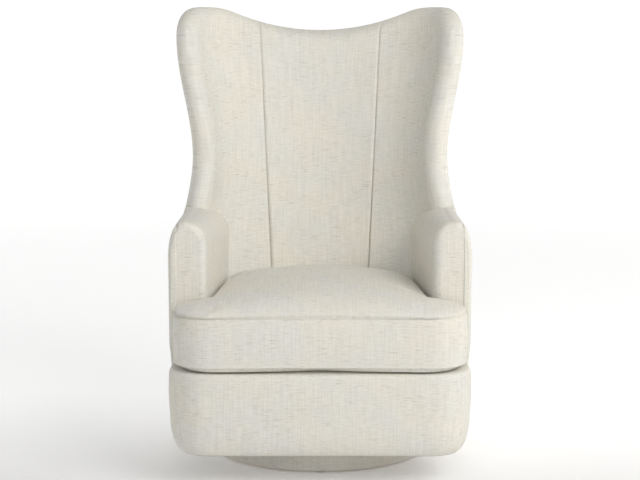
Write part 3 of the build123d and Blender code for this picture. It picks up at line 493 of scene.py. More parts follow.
def fabric_material(look, name, tint=(1, 1, 1), slubs=1.0):
    """Slub-woven cloth.

    Mottled ground, dark and pale slubs along the weft, faint warp streaks and a woven relief.
    """
    material, nodes, links, shader = node_material(name)
    place = nodes.new("ShaderNodeUVMap")
    place.uv_map = UV_NAME
    uv = place.outputs["UV"]

    def shade(c):
        return c[0] * tint[0], c[1] * tint[1], c[2] * tint[2], 1

    mottle = noise(nodes, links, uv, 7.0, 4.0, 0.6)
    ground = ramp(nodes, links, mottle, [(0.42, shade(look.warm)), (0.58, shade(look.cool))])
    weft = noise(nodes, links, scaled(nodes, links, uv, (36, 480, 1)), 1.0, 2.0, 0.6)
    dark = ramp(nodes, links, weft, [(0.54, grey(0)), (0.68, grey(slubs))])
    patch = noise(nodes, links, scaled(nodes, links, uv, (14, 30, 1)), 1.0, 3.0, 0.6)
    patch = ramp(nodes, links, patch, [(0.40, grey(0.25)), (0.62, grey(1.0))])
    dark = mixed(nodes, links, 1.0, dark, patch, "MULTIPLY")
    ground = mixed(nodes, links, dark, ground, shade(look.slub))
    thin = noise(nodes, links, scaled(nodes, links, uv, (45, 300, 1)), 1.0, 3.0, 0.55)
    pale = ramp(nodes, links, thin, [(0.50, grey(0)), (0.66, grey(0.65))])
    ground = mixed(nodes, links, pale, ground, shade(look.pale))
    warp = noise(nodes, links, scaled(nodes, links, uv, (260, 10, 1)), 1.0, 2.0, 0.6)
    streak = ramp(nodes, links, warp, [(0.35, grey(0.92)), (0.65, grey(1.0))])
    ground = mixed(nodes, links, 1.0, ground, streak, "MULTIPLY")
    links.new(ground, shader.inputs["Base Color"])
    rough = ramp(nodes, links, weft, [(0.3, grey(0.62)), (0.7, grey(0.82))])
    links.new(rough, shader.inputs["Roughness"])
    shader.inputs["Specular IOR Level"].default_value = 0.35
    shader.inputs["Sheen Weight"].default_value = look.sheen
    shader.inputs["Sheen Roughness"].default_value = 0.45
    shader.inputs["Sheen Tint"].default_value = (1.0, 0.98, 0.93, 1)
    over = nodes.new("ShaderNodeTexWave")
    over.bands_direction = "X"
    under = nodes.new("ShaderNodeTexWave")
    under.bands_direction = "Y"
    for wave in (over, under):
        wave.inputs["Scale"].default_value = math.pi / (10 * look.thread)
        wave.inputs["Distortion"].default_value = 1.2
        wave.inputs["Detail"].default_value = 1.0
        links.new(uv, wave.inputs["Vector"])
    relief = mixed(nodes, links, 0.5, over.outputs["Color"], under.outputs["Color"])
    relief = mixed(nodes, links, dark, relief, grey(1.0))
    bump = nodes.new("ShaderNodeBump")
    bump.inputs["Strength"].default_value = look.bump
    bump.inputs["Distance"].default_value = 0.0005
    links.new(relief, bump.inputs["Height"])
    links.new(bump.outputs["Normal"], shader.inputs["Normal"])
    return material


def grained_material(name, light, dark, stretch, rough, metallic=0.0, relief=0.0003):
    """Solid finish with a stretched grain: wood, brushed metal or moulded plastic."""
    material, nodes, links, shader = node_material(name)
    place = nodes.new("ShaderNodeTexCoord")
    vector = scaled(nodes, links, place.outputs["Object"], stretch)
    grain = noise(nodes, links, vector, 1.0, 5.0, 0.6)
    links.new(ramp(nodes, links, grain, [(0.35, dark), (0.65, light)]), shader.inputs["Base Color"])
    links.new(ramp(nodes, links, grain, [(0.3, grey(rough - 0.06)), (0.7, grey(rough + 0.06))]),
              shader.inputs["Roughness"])
    shader.inputs["Metallic"].default_value = metallic
    bump = nodes.new("ShaderNodeBump")
    bump.inputs["Strength"].default_value = 0.3
    bump.inputs["Distance"].default_value = relief
    links.new(grain, bump.inputs["Height"])
    links.new(bump.outputs["Normal"], shader.inputs["Normal"])
    return material


def cloth(name, tint=(1, 1, 1), slubs=1.0):
    """A cloth of the chair by name, made once."""
    return bpy.data.materials.get(name) or fabric_material(bpy.context.scene.chair_fabric, name, tint, slubs)


def cover_material():
    """The shared cover fabric."""
    return cloth("ivory_slub_weave")


def lining_material():
    """Plain cloth of the hidden seat deck and underside."""
    return cloth("deck_lining_weave", (0.82, 0.80, 0.78), 0.3)


def body_cover(form, name, patches, nodes, flip=False):
    """A cover of the body from its patches, in the shared fabric and with its thickness."""
    obj = sheet_mesh(name, patches, flip)
    dress(obj, cover_material(), "chair_body", nodes)
    thicken(obj, form.cloth)


# Operators

class CHAIR_OT_back(Operator):
    """Inside back: a middle panel and two wing panels rolled over the edges, drawn in at the seams."""

    bl_idname = "chair.build_back"
    bl_label = "Inside back"

    def execute(self, context):
        form = context.scene.chair_form
        body_cover(form, "inside_back_panel", panel_patches(form, True),
                   ["inside_back_middle", "back_foam"])
        for name, patches in both_sides(panel_patches(form, False)):
            body_cover(form, f"{name}_wing_panel", patches, [f"{name}_inside_wing_cover"])
        return {"FINISHED"}


def panel_patches(form, middle):
    """Patches of the middle panel or of the right wing's: the face up to the rim's crest, and the rim's far side.

    The face is the inside plan carried up the leaning back; within the rim's depth it turns towards the
    outside as a half ellipse. Rows run up, columns run left to right, a wing's from its seam.
    """
    share = (clustered(61) * 2 - 1 if middle else clustered(70)[:-1])[None, :]
    edge = 1 - rim_spacing(form.rim_depth, RIM_COUNT) / inner_run(form, RIM_LEVEL)

    def columns(z):
        seam = seam_q(form, z)
        if middle:
            return share * seam
        return np.concatenate([seam + share * (edge[0] - seam), np.broadcast_to(edge, (len(z), RIM_COUNT))], 1)

    r, depth, fade = form.ear_round, form.rim_depth, 0.02
    q_top = np.abs(columns(np.full((1, 1), form.ear_top)))
    limit = top_level(form, q_top, RIM_CREST)
    over = np.clip(r - (1 - q_top) * inner_run(form, limit), 0, r)
    bound = limit - r + np.sqrt(r ** 2 - over ** 2)
    level = np.linspace(0, 1, 140)[:-1, None]
    z = np.concatenate([form.deck_z + level * (bound - depth - form.deck_z),
                        bound - rim_spacing(depth, RIM_COUNT)[:, None]], 0)
    q = columns(z[:, :1])
    run = inner_run(form, z)
    near = np.clip(rim_distance(form, (1 - np.abs(q)) * run, limit - z) / depth, 0, 1)
    w = RIM_CREST * (1 - np.sqrt(1 - (1 - near) ** 2))
    drawn = seam_draw(form, (np.abs(q) - seam_q(form, z)) * run) * (1 - smooth((z - bound + fade) / fade))
    face = shell_point(form, q, z, w + drawn / form.wing_wall)
    scale = inner_run(form, WEAVE_LEVEL)
    return [(face, np.stack([q * scale, z], -1), False),
            rim_strip(form, q, z, limit + 0 * z, scale, middle)]


def rim_strip(form, q, z, limit, scale, top_only):
    """Far side of the rolled rim along a panel's top row and, for a wing, down its outer column."""
    if top_only:
        edge_q, edge_z, edge_limit = q[-1:], z[-1:], limit[-1:]
    else:
        edge_q, edge_z, edge_limit = (np.concatenate([g[-1], g[::-1, -1][1:]])[None] for g in (q, z, limit))
    r = form.ear_round
    turn = np.linspace(math.pi / 2, math.pi, RIM_COUNT)[:, None]
    inward = form.rim_depth * (1 - np.sin(turn))
    run = inner_run(form, edge_z)
    s, t = (1 - np.abs(edge_q)) * run, edge_limit - edge_z
    on_side = s < 1e-6
    in_s = np.where(on_side & (t >= r), 1.0, np.maximum(r - s, 0) * (t < r))
    in_t = np.where(on_side | (s < r), np.maximum(r - t, 0), 1.0)
    size = np.hypot(in_s, in_t)
    strip_q = 1 - (s + inward * in_s / size) / run
    strip_q = np.where(edge_q < 0, -strip_q, strip_q)
    strip_z = edge_z - inward * in_t / size
    arm_level, ease, held_back = 0.57, 0.03, 0.12
    full = 1 - held_back * (1 - smooth((strip_z - arm_level) / ease))
    last_turn, tuck = 2.75, 0.06
    strip_w = RIM_CREST - RIM_CREST * np.cos(turn) * full - tuck * smooth((turn - last_turn) / 0.4)
    uv = np.stack([strip_q * scale + 0 * turn, strip_z + 0 * turn], -1)
    over = np.where(in_t > in_s, 1, 0) * turn * form.rim_depth
    beside = np.where(in_t > in_s, 0, 1) * turn * form.rim_depth
    uv = uv + np.stack([beside, over], -1)
    return shell_point(form, strip_q, strip_z, strip_w), uv, False


class CHAIR_OT_outside(Operator):
    """Outside covers: a back panel and two side panels with a rounded lower edge."""

    bl_idname = "chair.build_outside"
    bl_label = "Outside covers"

    def execute(self, context):
        form = context.scene.chair_form
        body_cover(form, "outside_back", outside_back_patches(form), ["outside_back_cover"], flip=True)
        for name, patches in both_sides(outside_side_patches(form)):
            body_cover(form, f"{name}_side_panel", patches, [f"{name}_side_cover"], flip=True)
        return {"FINISHED"}


def lower_levels(form, top, count):
    """Levels from the lower edge up: even along its rounding, then even to the top."""
    turn = np.linspace(0, math.pi / 2, 12)
    low = form.bottom_z + form.round_height * (1 - np.cos(turn))
    share = np.linspace(0, 1, count)[1:, None]
    high = low[-1] + share * (top - low[-1])
    return np.concatenate([np.broadcast_to(low[:, None], (len(low), high.shape[1])), high], 0)


def outer_seam_q(form, z):
    """Place of the right outside back seam across the outside."""
    half, _, depth, corner = outer_arch(form, z)
    crown, _, _, _ = arch_parts(half, depth, corner)
    return crown * np.arcsin(np.minimum(form.back_seam / crown, 1)) / outer_run(form, z)


def outside_back_patches(form):
    """Outside back: the outside plan carried up between its two seams, rolled at the top."""
    across, wall = (clustered(61) * 2 - 1)[None, :], 0.09
    q_top = across * outer_seam_q(form, np.full((1, 1), form.ear_top))
    bound = top_level(form, np.abs(q_top), RIM_CREST) - form.rim_depth
    z = lower_levels(form, bound - form.rim_depth, 110)
    z = np.concatenate([z, bound - np.linspace(form.rim_depth, 0, RIM_COUNT)[1:, None]], 0)
    q = across * outer_seam_q(form, z[:, :1])
    gap = np.minimum((outer_seam_q(form, z) - np.abs(q)) * outer_run(form, z), bound - z)
    w = 1 - seam_draw(form, gap) / wall
    uv = np.stack([q * outer_run(form, z), z], -1)
    return [(shell_point(form, q, z, w), uv, False)]


def outside_side_patches(form):
    """Right side cover: rear columns go up behind the wing, front columns end on the arm's outer edge."""
    joint, wall = form.arm_seam_z, 0.075
    share = clustered(60)[None, :]
    edge = 1 - form.rim_depth / inner_run(form, RIM_LEVEL)

    def columns(z):
        seam = outer_seam_q(form, z)
        return seam + share * (edge - seam)

    q_top = columns(np.full((1, 1), form.ear_top))
    limit = top_level(form, q_top, RIM_CREST)
    inner = form.ear_round - form.rim_depth
    over = np.clip(form.ear_round - (1 - q_top) * inner_run(form, limit), 0, inner)
    bound = limit - form.rim_depth - inner + np.sqrt(inner ** 2 - over ** 2)
    low = lower_levels(form, np.full((1, q_top.shape[1]), joint), 70)
    level = np.linspace(0, 1, 60)[1:, None]
    high = joint + level * (bound - form.rim_depth - joint)
    roll = bound - np.linspace(form.rim_depth, 0, RIM_COUNT)[1:, None]
    z = np.concatenate([low, high, roll], 0)
    q = columns(z[:, :1])
    rim = rim_distance(form, (1 - q) * inner_run(form, z), limit - z) - form.rim_depth
    rim = np.where(z > joint, np.maximum(rim, 0), 1.0)
    gap = np.minimum((q - outer_seam_q(form, z)) * outer_run(form, z), rim)
    rear = shell_point(form, q, z, 1 - seam_draw(form, gap) / wall)
    rear_uv = np.stack([q * outer_run(form, z), z], -1)

    rows = len(low)
    start = rear[:rows, -1:]
    from_y, height = start[..., 1], start[..., 2]
    lap, least, border_roll, proud = 0.001, 0.001, 0.004, 0.0008
    below, ease, ease_up = 0.03, 0.02, 0.1
    y = from_y - clustered(46)[None, 1:] * (from_y - (form.border_y + lap))
    full = smooth((from_y - y) / ARM_BLEND) * (height > form.shoulder_z)
    wide = half_width(form, height)
    x = wide - outer_inset(form, height) + (arm_outer_x(form, height) - wide) * full
    above = smooth((height - form.border_top + below) / ease)
    roll = border_roll + (np.maximum(x[:, -1:] - form.arm_seam_x, least) - border_roll) * above
    front_y = form.border_y + (form.arm_front - proud - form.border_y) * above
    turn = np.linspace(0, math.pi / 2, 9)[None, 1:]
    straight = np.stack([x, np.maximum(y, front_y + roll), height + 0 * x], -1)
    rolled = np.stack([x[:, -1:] - roll * (1 - np.cos(turn)), front_y + roll * (1 - np.sin(turn)),
                       height + 0 * turn], -1)
    front = np.concatenate([start, straight, rolled], 1)
    ahead = np.clip((form.arm_front + form.arm_roll - front[..., 1]) / form.arm_roll, 0, 1)
    drop = form.arm_roll * (1 - np.sqrt(1 - ahead ** 2))
    front[..., 2] -= drop * smooth((front[..., 2] - form.shoulder_z) / ease_up)
    step = np.linalg.norm(np.diff(front, axis=1), axis=2)
    along = np.concatenate([np.zeros((rows, 1)), np.cumsum(step, 1)], 1) + rear_uv[:rows, -1:, 0]
    return [(rear, rear_uv, False), (front, np.stack([along, front[..., 2]], -1), False)]


class CHAIR_OT_border(Operator):
    """Front border: its section carried round the front of the body."""

    bl_idname = "chair.build_border"
    bl_label = "Front border"

    def execute(self, context):
        form = context.scene.chair_form
        turn = np.linspace(0, math.pi / 2, 16)
        low_z = form.bottom_z + form.round_height * (1 - np.cos(turn))
        low_in = form.round_width * (1 - np.sin(turn))
        roll, bulge, lap, step_back = 0.010, 0.0025, 0.098, 0.008
        wall_z = np.linspace(low_z[-1], form.border_top - roll, 24)[1:]
        share = (wall_z - low_z[-1]) / (form.border_top - low_z[-1])
        wall_in = -bulge * np.sin(math.pi * share)
        turn = np.linspace(0, math.pi / 2, 9)[1:]
        roll_z = form.border_top - roll * (1 - np.sin(turn))
        roll_in = roll * (1 - np.cos(turn))
        deck_in = np.linspace(roll_in[-1], lap, 8)[1:]
        inset = np.concatenate([low_in, wall_in, roll_in, deck_in])[:, None]
        tuck = np.concatenate([0 * low_in, 0 * wall_in, 0 * roll_in, step_back + 0 * deck_in])[:, None]
        z = np.concatenate([low_z, wall_z, roll_z, form.border_top + 0 * deck_in])[:, None]
        x, y, run, gap = border_path(form, inset + form.body_half - half_width(form, z), inset, tuck)
        seam_zone = 0.02
        side = np.sign(x) * (np.abs(y - form.border_y) < seam_zone)
        grid = np.stack([x - side * seam_draw(form, gap), y, z + 0 * x], -1)
        rise = np.concatenate([[0], np.cumsum(np.hypot(np.diff(inset[:, 0]), np.diff(z[:, 0])))])[:, None]
        uv = np.stack([run + 0 * z, rise + 0 * x], -1)
        body_cover(form, "front_border", [(grid, uv, False)], ["front_border_cover", "front_border_foam"])
        return {"FINISHED"}


def border_path(form, inset, front_inset, tuck):
    """Plan of the border, left to right: side, corner arc, front, corner arc, side.

    The sides are drawn in by one inset and the front by another. Returns sideways place, depth, run along
    the cloth and the distance from the side seams.
    """
    straight = np.linspace(0, 1, 8)[None, :]
    corner_y = form.front_y + form.front_corner
    r, front_r = form.front_corner - inset, form.front_corner - front_inset
    center_x = form.body_half - form.front_corner
    turn = np.linspace(0, math.pi / 2, 22)[None, 1:-1]
    xs = center_x + r + 0 * straight
    rear = form.border_y + tuck
    ys = rear + (corner_y - rear) * straight
    xc = center_x + r * np.cos(turn)
    yc = corner_y - front_r * np.sin(turn)
    front = np.linspace(1, -1, 60)[None, :]
    xf = center_x * front + 0 * inset
    yf = corner_y - front_r + 0 * front
    x = np.concatenate([xs, xc, xf, -xc[:, ::-1], -xs[:, ::-1]], 1)[:, ::-1]
    y = np.concatenate([ys, yc, yf, yc[:, ::-1], ys[:, ::-1]], 1)[:, ::-1]
    full = np.argmin(np.abs(inset[:, 0]))
    step = np.hypot(np.diff(x[full]), np.diff(y[full]))
    run = np.concatenate([[0], np.cumsum(step)])[None, :]
    gap = np.minimum(run, run[:, -1:] - run)
    return x, y, run - run[:, -1:] / 2, gap + 0 * x


class CHAIR_OT_arms(Operator):
    """Arms: a rounded section carried from the back to the front, rolled into a flat front."""

    bl_idname = "chair.build_arms"
    bl_label = "Arms"

    def execute(self, context):
        form = context.scene.chair_form
        for name, patches in both_sides(arm_patches(form)):
            body_cover(form, f"{name}_arm", patches, [f"{name}_arm_cover", f"{name}_arm_foam"], flip=True)
        return {"FINISHED"}


def arm_patches(form):
    """Right arm: its section (inner face, rounded top, outer face) carried forward to a flat front.

    At the front edge the section shrinks on a quarter circle, least on its outer side; its roundings shrink
    with it. The outer face stays within the side cover, and above it stands out to the cover's surface. The
    flat front has straight rungs from the inner to the outer points.
    """
    rows, rear_end, proud, ease = 46, 0.1, 0.0042, 0.004
    top_gap, arch, outer_share = 0.001, 0.002, 0.25
    turn = np.linspace(0, math.pi / 2, 10)[1:]
    y = np.linspace(rear_end, form.arm_front + form.arm_roll, rows)
    y = np.concatenate([y, form.arm_front + form.arm_roll * (1 - np.sin(turn))])[:, None]
    draw = np.concatenate([np.zeros(rows), form.arm_roll * (1 - np.cos(turn))])[:, None]
    rear = smooth((y - form.arm_front) / (form.arm_rear - form.arm_front))
    inner, top = arm_inner_x(form, np.maximum(y, form.arm_front)) + draw, form.arm_top - top_gap - draw
    outer = form.body_half - ARM_TUCK - outer_share * draw
    # Radii of the roundings at the front, with what they gain or lose towards the back
    wide_in, tall_in = 0.044 + 0.026 * rear - draw, 0.052 + 0.040 * rear - draw
    wide_out = 0.032 - 0.012 * smooth((y + 0.045) / 0.06) - outer_share * draw
    tall_out = 0.088 - draw
    turn = np.linspace(0, math.pi / 2, 16)[None, :]
    run = np.linspace(0, 1, 30)[None, :-1]
    flat = np.linspace(0, 1, 7)[None, 1:-1]
    left, right = inner + wide_in, outer - wide_out
    z1 = form.deck_z + run * (top - tall_in - form.deck_z)
    z5 = form.deck_z + run[:, ::-1] * (top - tall_out - form.deck_z)
    x = np.concatenate([inner + 0 * z1, left - wide_in * np.cos(turn), left + (right - left) * flat,
                        right + wide_out * np.sin(turn), outer + 0 * z5], 1)
    z = np.concatenate([z1, top - tall_in * (1 - np.sin(turn)), top + arch * np.sin(math.pi * flat),
                        top - tall_out * (1 - np.cos(turn)), z5], 1)
    wide = half_width(form, z)
    full = smooth((inside_y(form, z) - form.wing_depth - y) / ARM_BLEND) * (z > form.shoulder_z)
    bend = np.maximum(y - rear_y(form, z) + form.outer_depth, 0)
    cover = wide + (arm_outer_x(form, z) - wide) * full
    cover = cover - form.outer_corner + np.sqrt(form.outer_corner ** 2 - bend ** 2)
    x = np.minimum(x, cover - ARM_TUCK)
    outwards = np.concatenate([0 * run, 0 * turn, flat, 1 + 0 * turn, 1 + 0 * run], 1)
    x = x + proud * outwards * smooth((z - form.arm_seam_z) / ease)
    body = np.stack([x, y + 0 * x, z], -1)
    around = np.concatenate([[0], np.cumsum(np.linalg.norm(np.diff(body[0], axis=0), axis=1))])[None, :]
    uv = np.stack([y + 0 * x, around + 0 * x], -1)
    last, half = body[-1], body.shape[1] // 2
    share = np.linspace(1, 0, 10)[None, :, None]
    first, other = last[:half + 1, None], last[::-1][:half + 1, None]
    front = first + share * (other - first)
    return [(body, uv, False), (front, front[..., [0, 2]], False)]


class CHAIR_OT_plinth(Operator):
    """Cover of the round plinth: a softly edged ring carried round the axis."""

    bl_idname = "chair.build_plinth"
    bl_label = "Plinth cover"

    def execute(self, context):
        low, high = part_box("plinth_cover")
        radius, bottom, top = high.x, low.z, high.z
        edge, cloth_in, hem = 0.004, 0.0024, 0.001
        turn = np.linspace(0, math.pi / 2, 6)
        lower_r = radius - edge * (1 - np.sin(turn))
        lower_z = bottom + edge * (1 - np.cos(turn))
        wall = np.linspace(bottom + edge, top - edge, 12)[1:-1]
        inner = radius - cloth_in
        r = np.concatenate([[inner], lower_r, radius + 0 * wall, lower_r[::-1], [inner, inner, inner]])
        z = np.concatenate([[bottom], lower_z, wall, bottom + top - lower_z[::-1],
                            [top, top - hem, bottom + hem]])
        angle = np.linspace(0, 2 * math.pi, 161)[None, :-1]
        r, z = np.append(r, r[0])[:, None], np.append(z, z[0])[:, None]
        grid = np.stack([r * np.cos(angle), r * np.sin(angle), z + 0 * angle], -1)
        uv = np.stack([radius * angle + 0 * z, z + 0 * angle], -1)
        obj = sheet_mesh("plinth_skin", [(grid, uv, True)])
        dress(obj, cover_material(), "base", ["plinth_cover"])
        return {"FINISHED"}


class CHAIR_OT_deck(Operator):
    """Seat deck under the cushion, dust cover under the body and the straps of the back."""

    bl_idname = "chair.build_deck"
    bl_label = "Deck, dust cover and straps"

    def execute(self, context):
        form = context.scene.chair_form
        low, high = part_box("deck_cloth")
        pad_low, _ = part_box("deck_pad")
        obj = sheet_mesh("seat_deck", deck_patches(form, low, high, pad_low.z))
        dress(obj, lining_material(), "chair_body", ["deck_cloth", "deck_pad"])
        low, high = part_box("dust_cover")
        obj = sheet_mesh("under_cloth", dust_patches(form, low, high))
        dress(obj, lining_material(), "chair_body", ["dust_cover"])
        low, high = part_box("back_webbing")
        obj = sheet_mesh("back_straps", strap_patches(low, high))
        strap_cloth = cloth("strap_weave", (0.55, 0.48, 0.38), 0.5)
        dress(obj, strap_cloth, "chair_body", ["back_webbing"])
        return {"FINISHED"}


def deck_patches(form, low, high, bottom):
    """Closed slab between the arms: straight front, tapering sides, rear along the inside back."""
    c = np.linspace(-1, 1, 61)[None, :]
    d = np.linspace(0, 1, 51)[:, None]
    gap, drop, steep, weave_step = 0.002, 0.003, 8, 0.01
    arch = tuple(value - gap for value in inner_arch(form, np.array(form.deck_z)))
    limit = form.arm_inner_rear - gap
    rear_line = arch_point(*arch, np.interp(c * limit, *arch_table(*arch)))[1]
    y = low.y + d * (rear_line - low.y)
    x = c * np.minimum(arm_inner_x(form, y) - gap, high.x)
    edge = steep * np.minimum(np.minimum(d, 1 - d), 1 - np.abs(c))
    z = high.z - drop + drop * smooth(edge)
    top = np.stack([x, y, z], -1)
    base = np.stack([x, y, bottom + 0 * z], -1)
    rim_top = np.concatenate([top[0], top[1:, -1], top[-1, ::-1][1:], top[::-1, 0][1:-1]])
    rim_base = np.concatenate([base[0], base[1:, -1], base[-1, ::-1][1:], base[::-1, 0][1:-1]])
    wall = np.stack([rim_base, rim_top])
    run = np.arange(len(rim_top)) * weave_step
    wall_uv = np.stack([np.stack([run, rim_base[:, 2]], -1), np.stack([run, rim_top[:, 2]], -1)])
    return [(top, top[..., :2], False), (base[:, ::-1], base[:, ::-1, :2], False), (wall, wall_uv, True)]


def arch_table(half, crown_y, depth, corner):
    """Sideways places and runs of a plan arch, for reading a run from a place."""
    run = np.linspace(-1, 1, 801) * (np.sum(arch_parts(half, depth, corner)[2:]) - 1e-4)
    x, _ = arch_point(half, crown_y, depth, corner, run)
    return x, run


def dust_patches(form, low, high):
    """Flat ring: outer edge along the underside of the body, inner edge round the swivel."""
    inset, hole = form.round_width + 0.002, 0.1
    half, corner = form.body_half - inset, form.front_corner - inset
    z = np.array(form.bottom_z)
    crown_y = rear_y(form, z) - inset
    depth, rear_corner = form.outer_depth - inset, form.outer_corner - inset
    reach = np.sum(arch_parts(half, depth, rear_corner)[2:])
    run = np.linspace(-reach, reach, 81)
    xr, yr = arch_point(half, crown_y, depth, rear_corner, run)
    turn = np.linspace(0, math.pi / 2, 9)
    corner_y = form.front_y + form.front_corner
    xc = half - corner + corner * np.cos(turn)
    yc = corner_y - corner * np.sin(turn)
    side = np.linspace(yr[-1], corner_y, 20)[1:-1]
    front = np.linspace(1, -1, 30)[1:-1] * (half - corner)
    x = np.concatenate([xr, half + 0 * side, xc, front, -xc[::-1], 0 * side - half])
    y = np.concatenate([yr, side, yc, form.front_y + inset + 0 * front, yc[::-1], side[::-1]])
    angle = np.arctan2(y, x)
    share = np.linspace(0, 1, 10)[:, None]
    gx = hole * np.cos(angle) + share * (x - hole * np.cos(angle))
    gy = hole * np.sin(angle) + share * (y - hole * np.sin(angle))
    top = np.stack([gx, gy, high.z + 0 * gx], -1)
    base = np.stack([gx, gy, low.z + 0 * gx], -1)
    outer = np.stack([top[-1], base[-1]])
    inner = np.stack([base[0], top[0]])
    return [(grid, grid[..., :2], True) for grid in (top, base[::-1], outer, inner)]


def strap_patches(low, high):
    """Five woven straps across the leaning posts, each a flat closed band."""
    count, width, thick = 5, 0.05, 0.002
    z0 = np.linspace(low.z, high.z - width, count)
    slope = (high.y - low.y - thick) / (high.z - low.z)
    patches = []
    across = np.linspace(low.x, high.x, 30)
    turn = np.array([0, 0, 1, 1, 0]), np.array([0, 1, 1, 0, 0])
    for start in z0:
        z = start + turn[0][:, None] * width + 0 * across[None, :]
        y = low.y + thick + (z - low.z) * slope - turn[1][:, None] * thick
        x = across[None, :] + 0 * z
        grid = np.stack([x, y, z], -1)
        uv = np.stack([x, z + y], -1)
        patches.append((grid, uv, False))
        for end in (0, -1):
            ring = grid[:4, end]
            cap = np.stack([np.stack([ring[0], ring[1]]), np.stack([ring[3], ring[2]])])
            cap = cap if end == 0 else cap[:, ::-1]
            patches.append((cap, cap[..., 1:], False))
    return patches


class CHAIR_OT_cushion(Operator):
    """Loose seat cushion: a crowned T-shaped block puffed by cloth pressure between its pinned seams."""

    bl_idname = "chair.build_cushion"
    bl_label = "Seat cushion"

    def execute(self, context):
        form, cushion = context.scene.chair_form, context.scene.chair_cushion
        outline = cushion_outline(form, cushion)
        obj = sheet_mesh("seat_cushion", cushion_patches(cushion, outline))
        swell(obj, cushion, outline)
        finish_cushion(obj, cushion, outline)
        dress(obj, cover_material(), "cushion",
              ["cushion_foam", "cushion_top_cover", "cushion_bottom_cover", "cushion_band"])
        return {"FINISHED"}


def cushion_outline(form, cushion):
    """Plan of the cushion, anticlockwise from the middle of the rear, evenly spaced points."""
    arch = tuple(value - cushion.rear_gap for value in inner_arch(form, np.array(form.deck_z)))
    table = arch_table(*arch)
    ear_half, rear, front, r = cushion.ear_half, cushion.ear_rear, cushion.front_y, cushion.corner
    y_side = np.linspace(rear, 0.1, 400)
    x_side = arm_inner_x(form, y_side) - cushion.side_gap
    y_rear = arch_point(*arch, np.interp(x_side, *table))[1]
    last = np.argmax(y_side > y_rear)
    x_rear = np.linspace(0, x_side[last], 60)
    xr, yr = arch_point(*arch, np.interp(x_rear, *table))
    turn = np.linspace(0, math.pi / 2, 30)
    small, notch, draw = 0.018, 0.012, 0.004
    xs, ys = x_side[last:0:-8], y_side[last:0:-8]
    keep = ys > rear + notch
    xs, ys = xs[keep], ys[keep]
    xn = x_side[0] + notch * (1 - np.cos(turn))
    yn = rear + notch - notch * np.sin(turn)
    xe = ear_half - small + small * np.sin(turn)
    ye = rear - small * (1 - np.cos(turn))
    xf = ear_half - r + r * np.cos(turn)
    yf = front + r - r * np.sin(turn)
    xm = np.linspace(ear_half - r, 0, 40)[1:]
    ym = front + draw * (1 - (xm / (ear_half - r)) ** 2)
    x = np.concatenate([xr, xs, xn, xe, xf, xm])
    y = np.concatenate([yr, ys, yn, ye, yf, ym])
    x = np.concatenate([x, -x[::-1][1:-1]])
    y = np.concatenate([y, y[::-1][1:-1]])
    x, y = np.append(x, x[0]), np.append(y, y[0])
    run = np.concatenate([[0], np.cumsum(np.hypot(np.diff(x), np.diff(y)))])
    even = np.linspace(0, run[-1], 521)[:-1]
    return np.stack([np.interp(even, run, x), np.interp(even, run, y)], -1)[::-1]


def top_rise(cushion, x, y, gap):
    """Rise of the cushion's top over its seam: a rounded edge, an arch across and a flatter one along."""
    rear, half = 0.109, 0.37
    middle, reach = (cushion.front_y + rear) / 2, (rear - cushion.front_y) / 2
    along = 1 - np.abs(np.clip((y - middle) / reach, -1, 1)) ** 4
    across = 1 - np.clip(np.abs(x) / half, 0, 1) ** 1.8
    near = 1 - np.clip(gap / cushion.edge_width, 0, 1)
    return cushion.crown * along * across + cushion.edge_rise * np.sqrt(1 - near ** 2)


def drawn_in(outline, inset):
    """The outline drawn towards the middle of the cushion by an inset."""
    away = outline - CUSHION_CENTER
    return outline - away * inset / np.linalg.norm(away, axis=-1, keepdims=True)


def cushion_patches(cushion, outline):
    """Closed block as rings round the outline: underside, sloping lip, bulging band and crowned top.

    A ring is the outline drawn towards the middle by an inset; the first and last close in a point.
    """
    reach = np.linalg.norm(outline - CUSHION_CENTER, axis=1)
    step = np.linalg.norm(np.roll(outline, -1, 0) - outline, axis=1)
    run = np.concatenate([[0], np.cumsum(step)[:-1]])
    flat = np.linspace(0, 1, 26)[:, None]
    slope = np.linspace(0, 1, 9)[1:, None]
    band = clustered(26)[1:, None]
    fine = np.array([0.0012, 0.0026, 0.0042, 0.0062, 0.009, 0.013, 0.018, 0.025, 0.034])[:, None]
    inward = np.linspace(1, 0, 28)[1:, None]
    tall = cushion.upper_seam - cushion.lower_seam
    lip_width, seam = 0.018, SEAM_INSET + 0 * reach
    inset = np.concatenate([reach - (reach - SEAM_INSET - lip_width) * flat, seam + lip_width * (1 - slope),
                            seam * (1 - np.sin(math.pi * band)), seam + fine,
                            reach - (reach - SEAM_INSET - fine[-1]) * inward], 0)
    plan = drawn_in(outline, inset[..., None])
    lift = top_rise(cushion, plan[..., 0], plan[..., 1], inset - SEAM_INSET)
    lip_z = cushion.lower_seam - (1 - slope) ** 1.3 * (cushion.lower_seam - cushion.bottom_z)
    level = np.concatenate([cushion.bottom_z + 0 * flat, lip_z, cushion.lower_seam + tall * band], 0)
    z = cushion.upper_seam + lift
    z[:len(level)] = level
    grid = np.concatenate([plan, z[..., None]], -1)
    uv = np.stack([run[None, :] + 0 * z, z], -1)
    return [(grid, uv, True)]


def nearest(points, outline):
    """Index of the outline's point nearest to each point in plan."""
    parts = np.array_split(points[:, :2], 40)
    return np.concatenate([((part[:, None] - outline[None]) ** 2).sum(-1).argmin(1) for part in parts])


def seam_distance(points, outline, level):
    """Distance of points from a seam drawn in from the outline at one level."""
    line = drawn_in(outline, SEAM_INSET)
    flat = np.linalg.norm(points[:, :2] - line[nearest(points, line)], axis=1)
    return np.hypot(flat, points[:, 2] - level)


def mesh_points(mesh):
    """Vertex places as an array."""
    points = np.zeros(len(mesh.vertices) * 3)
    mesh.vertices.foreach_get("co", points)
    return points.reshape(-1, 3)


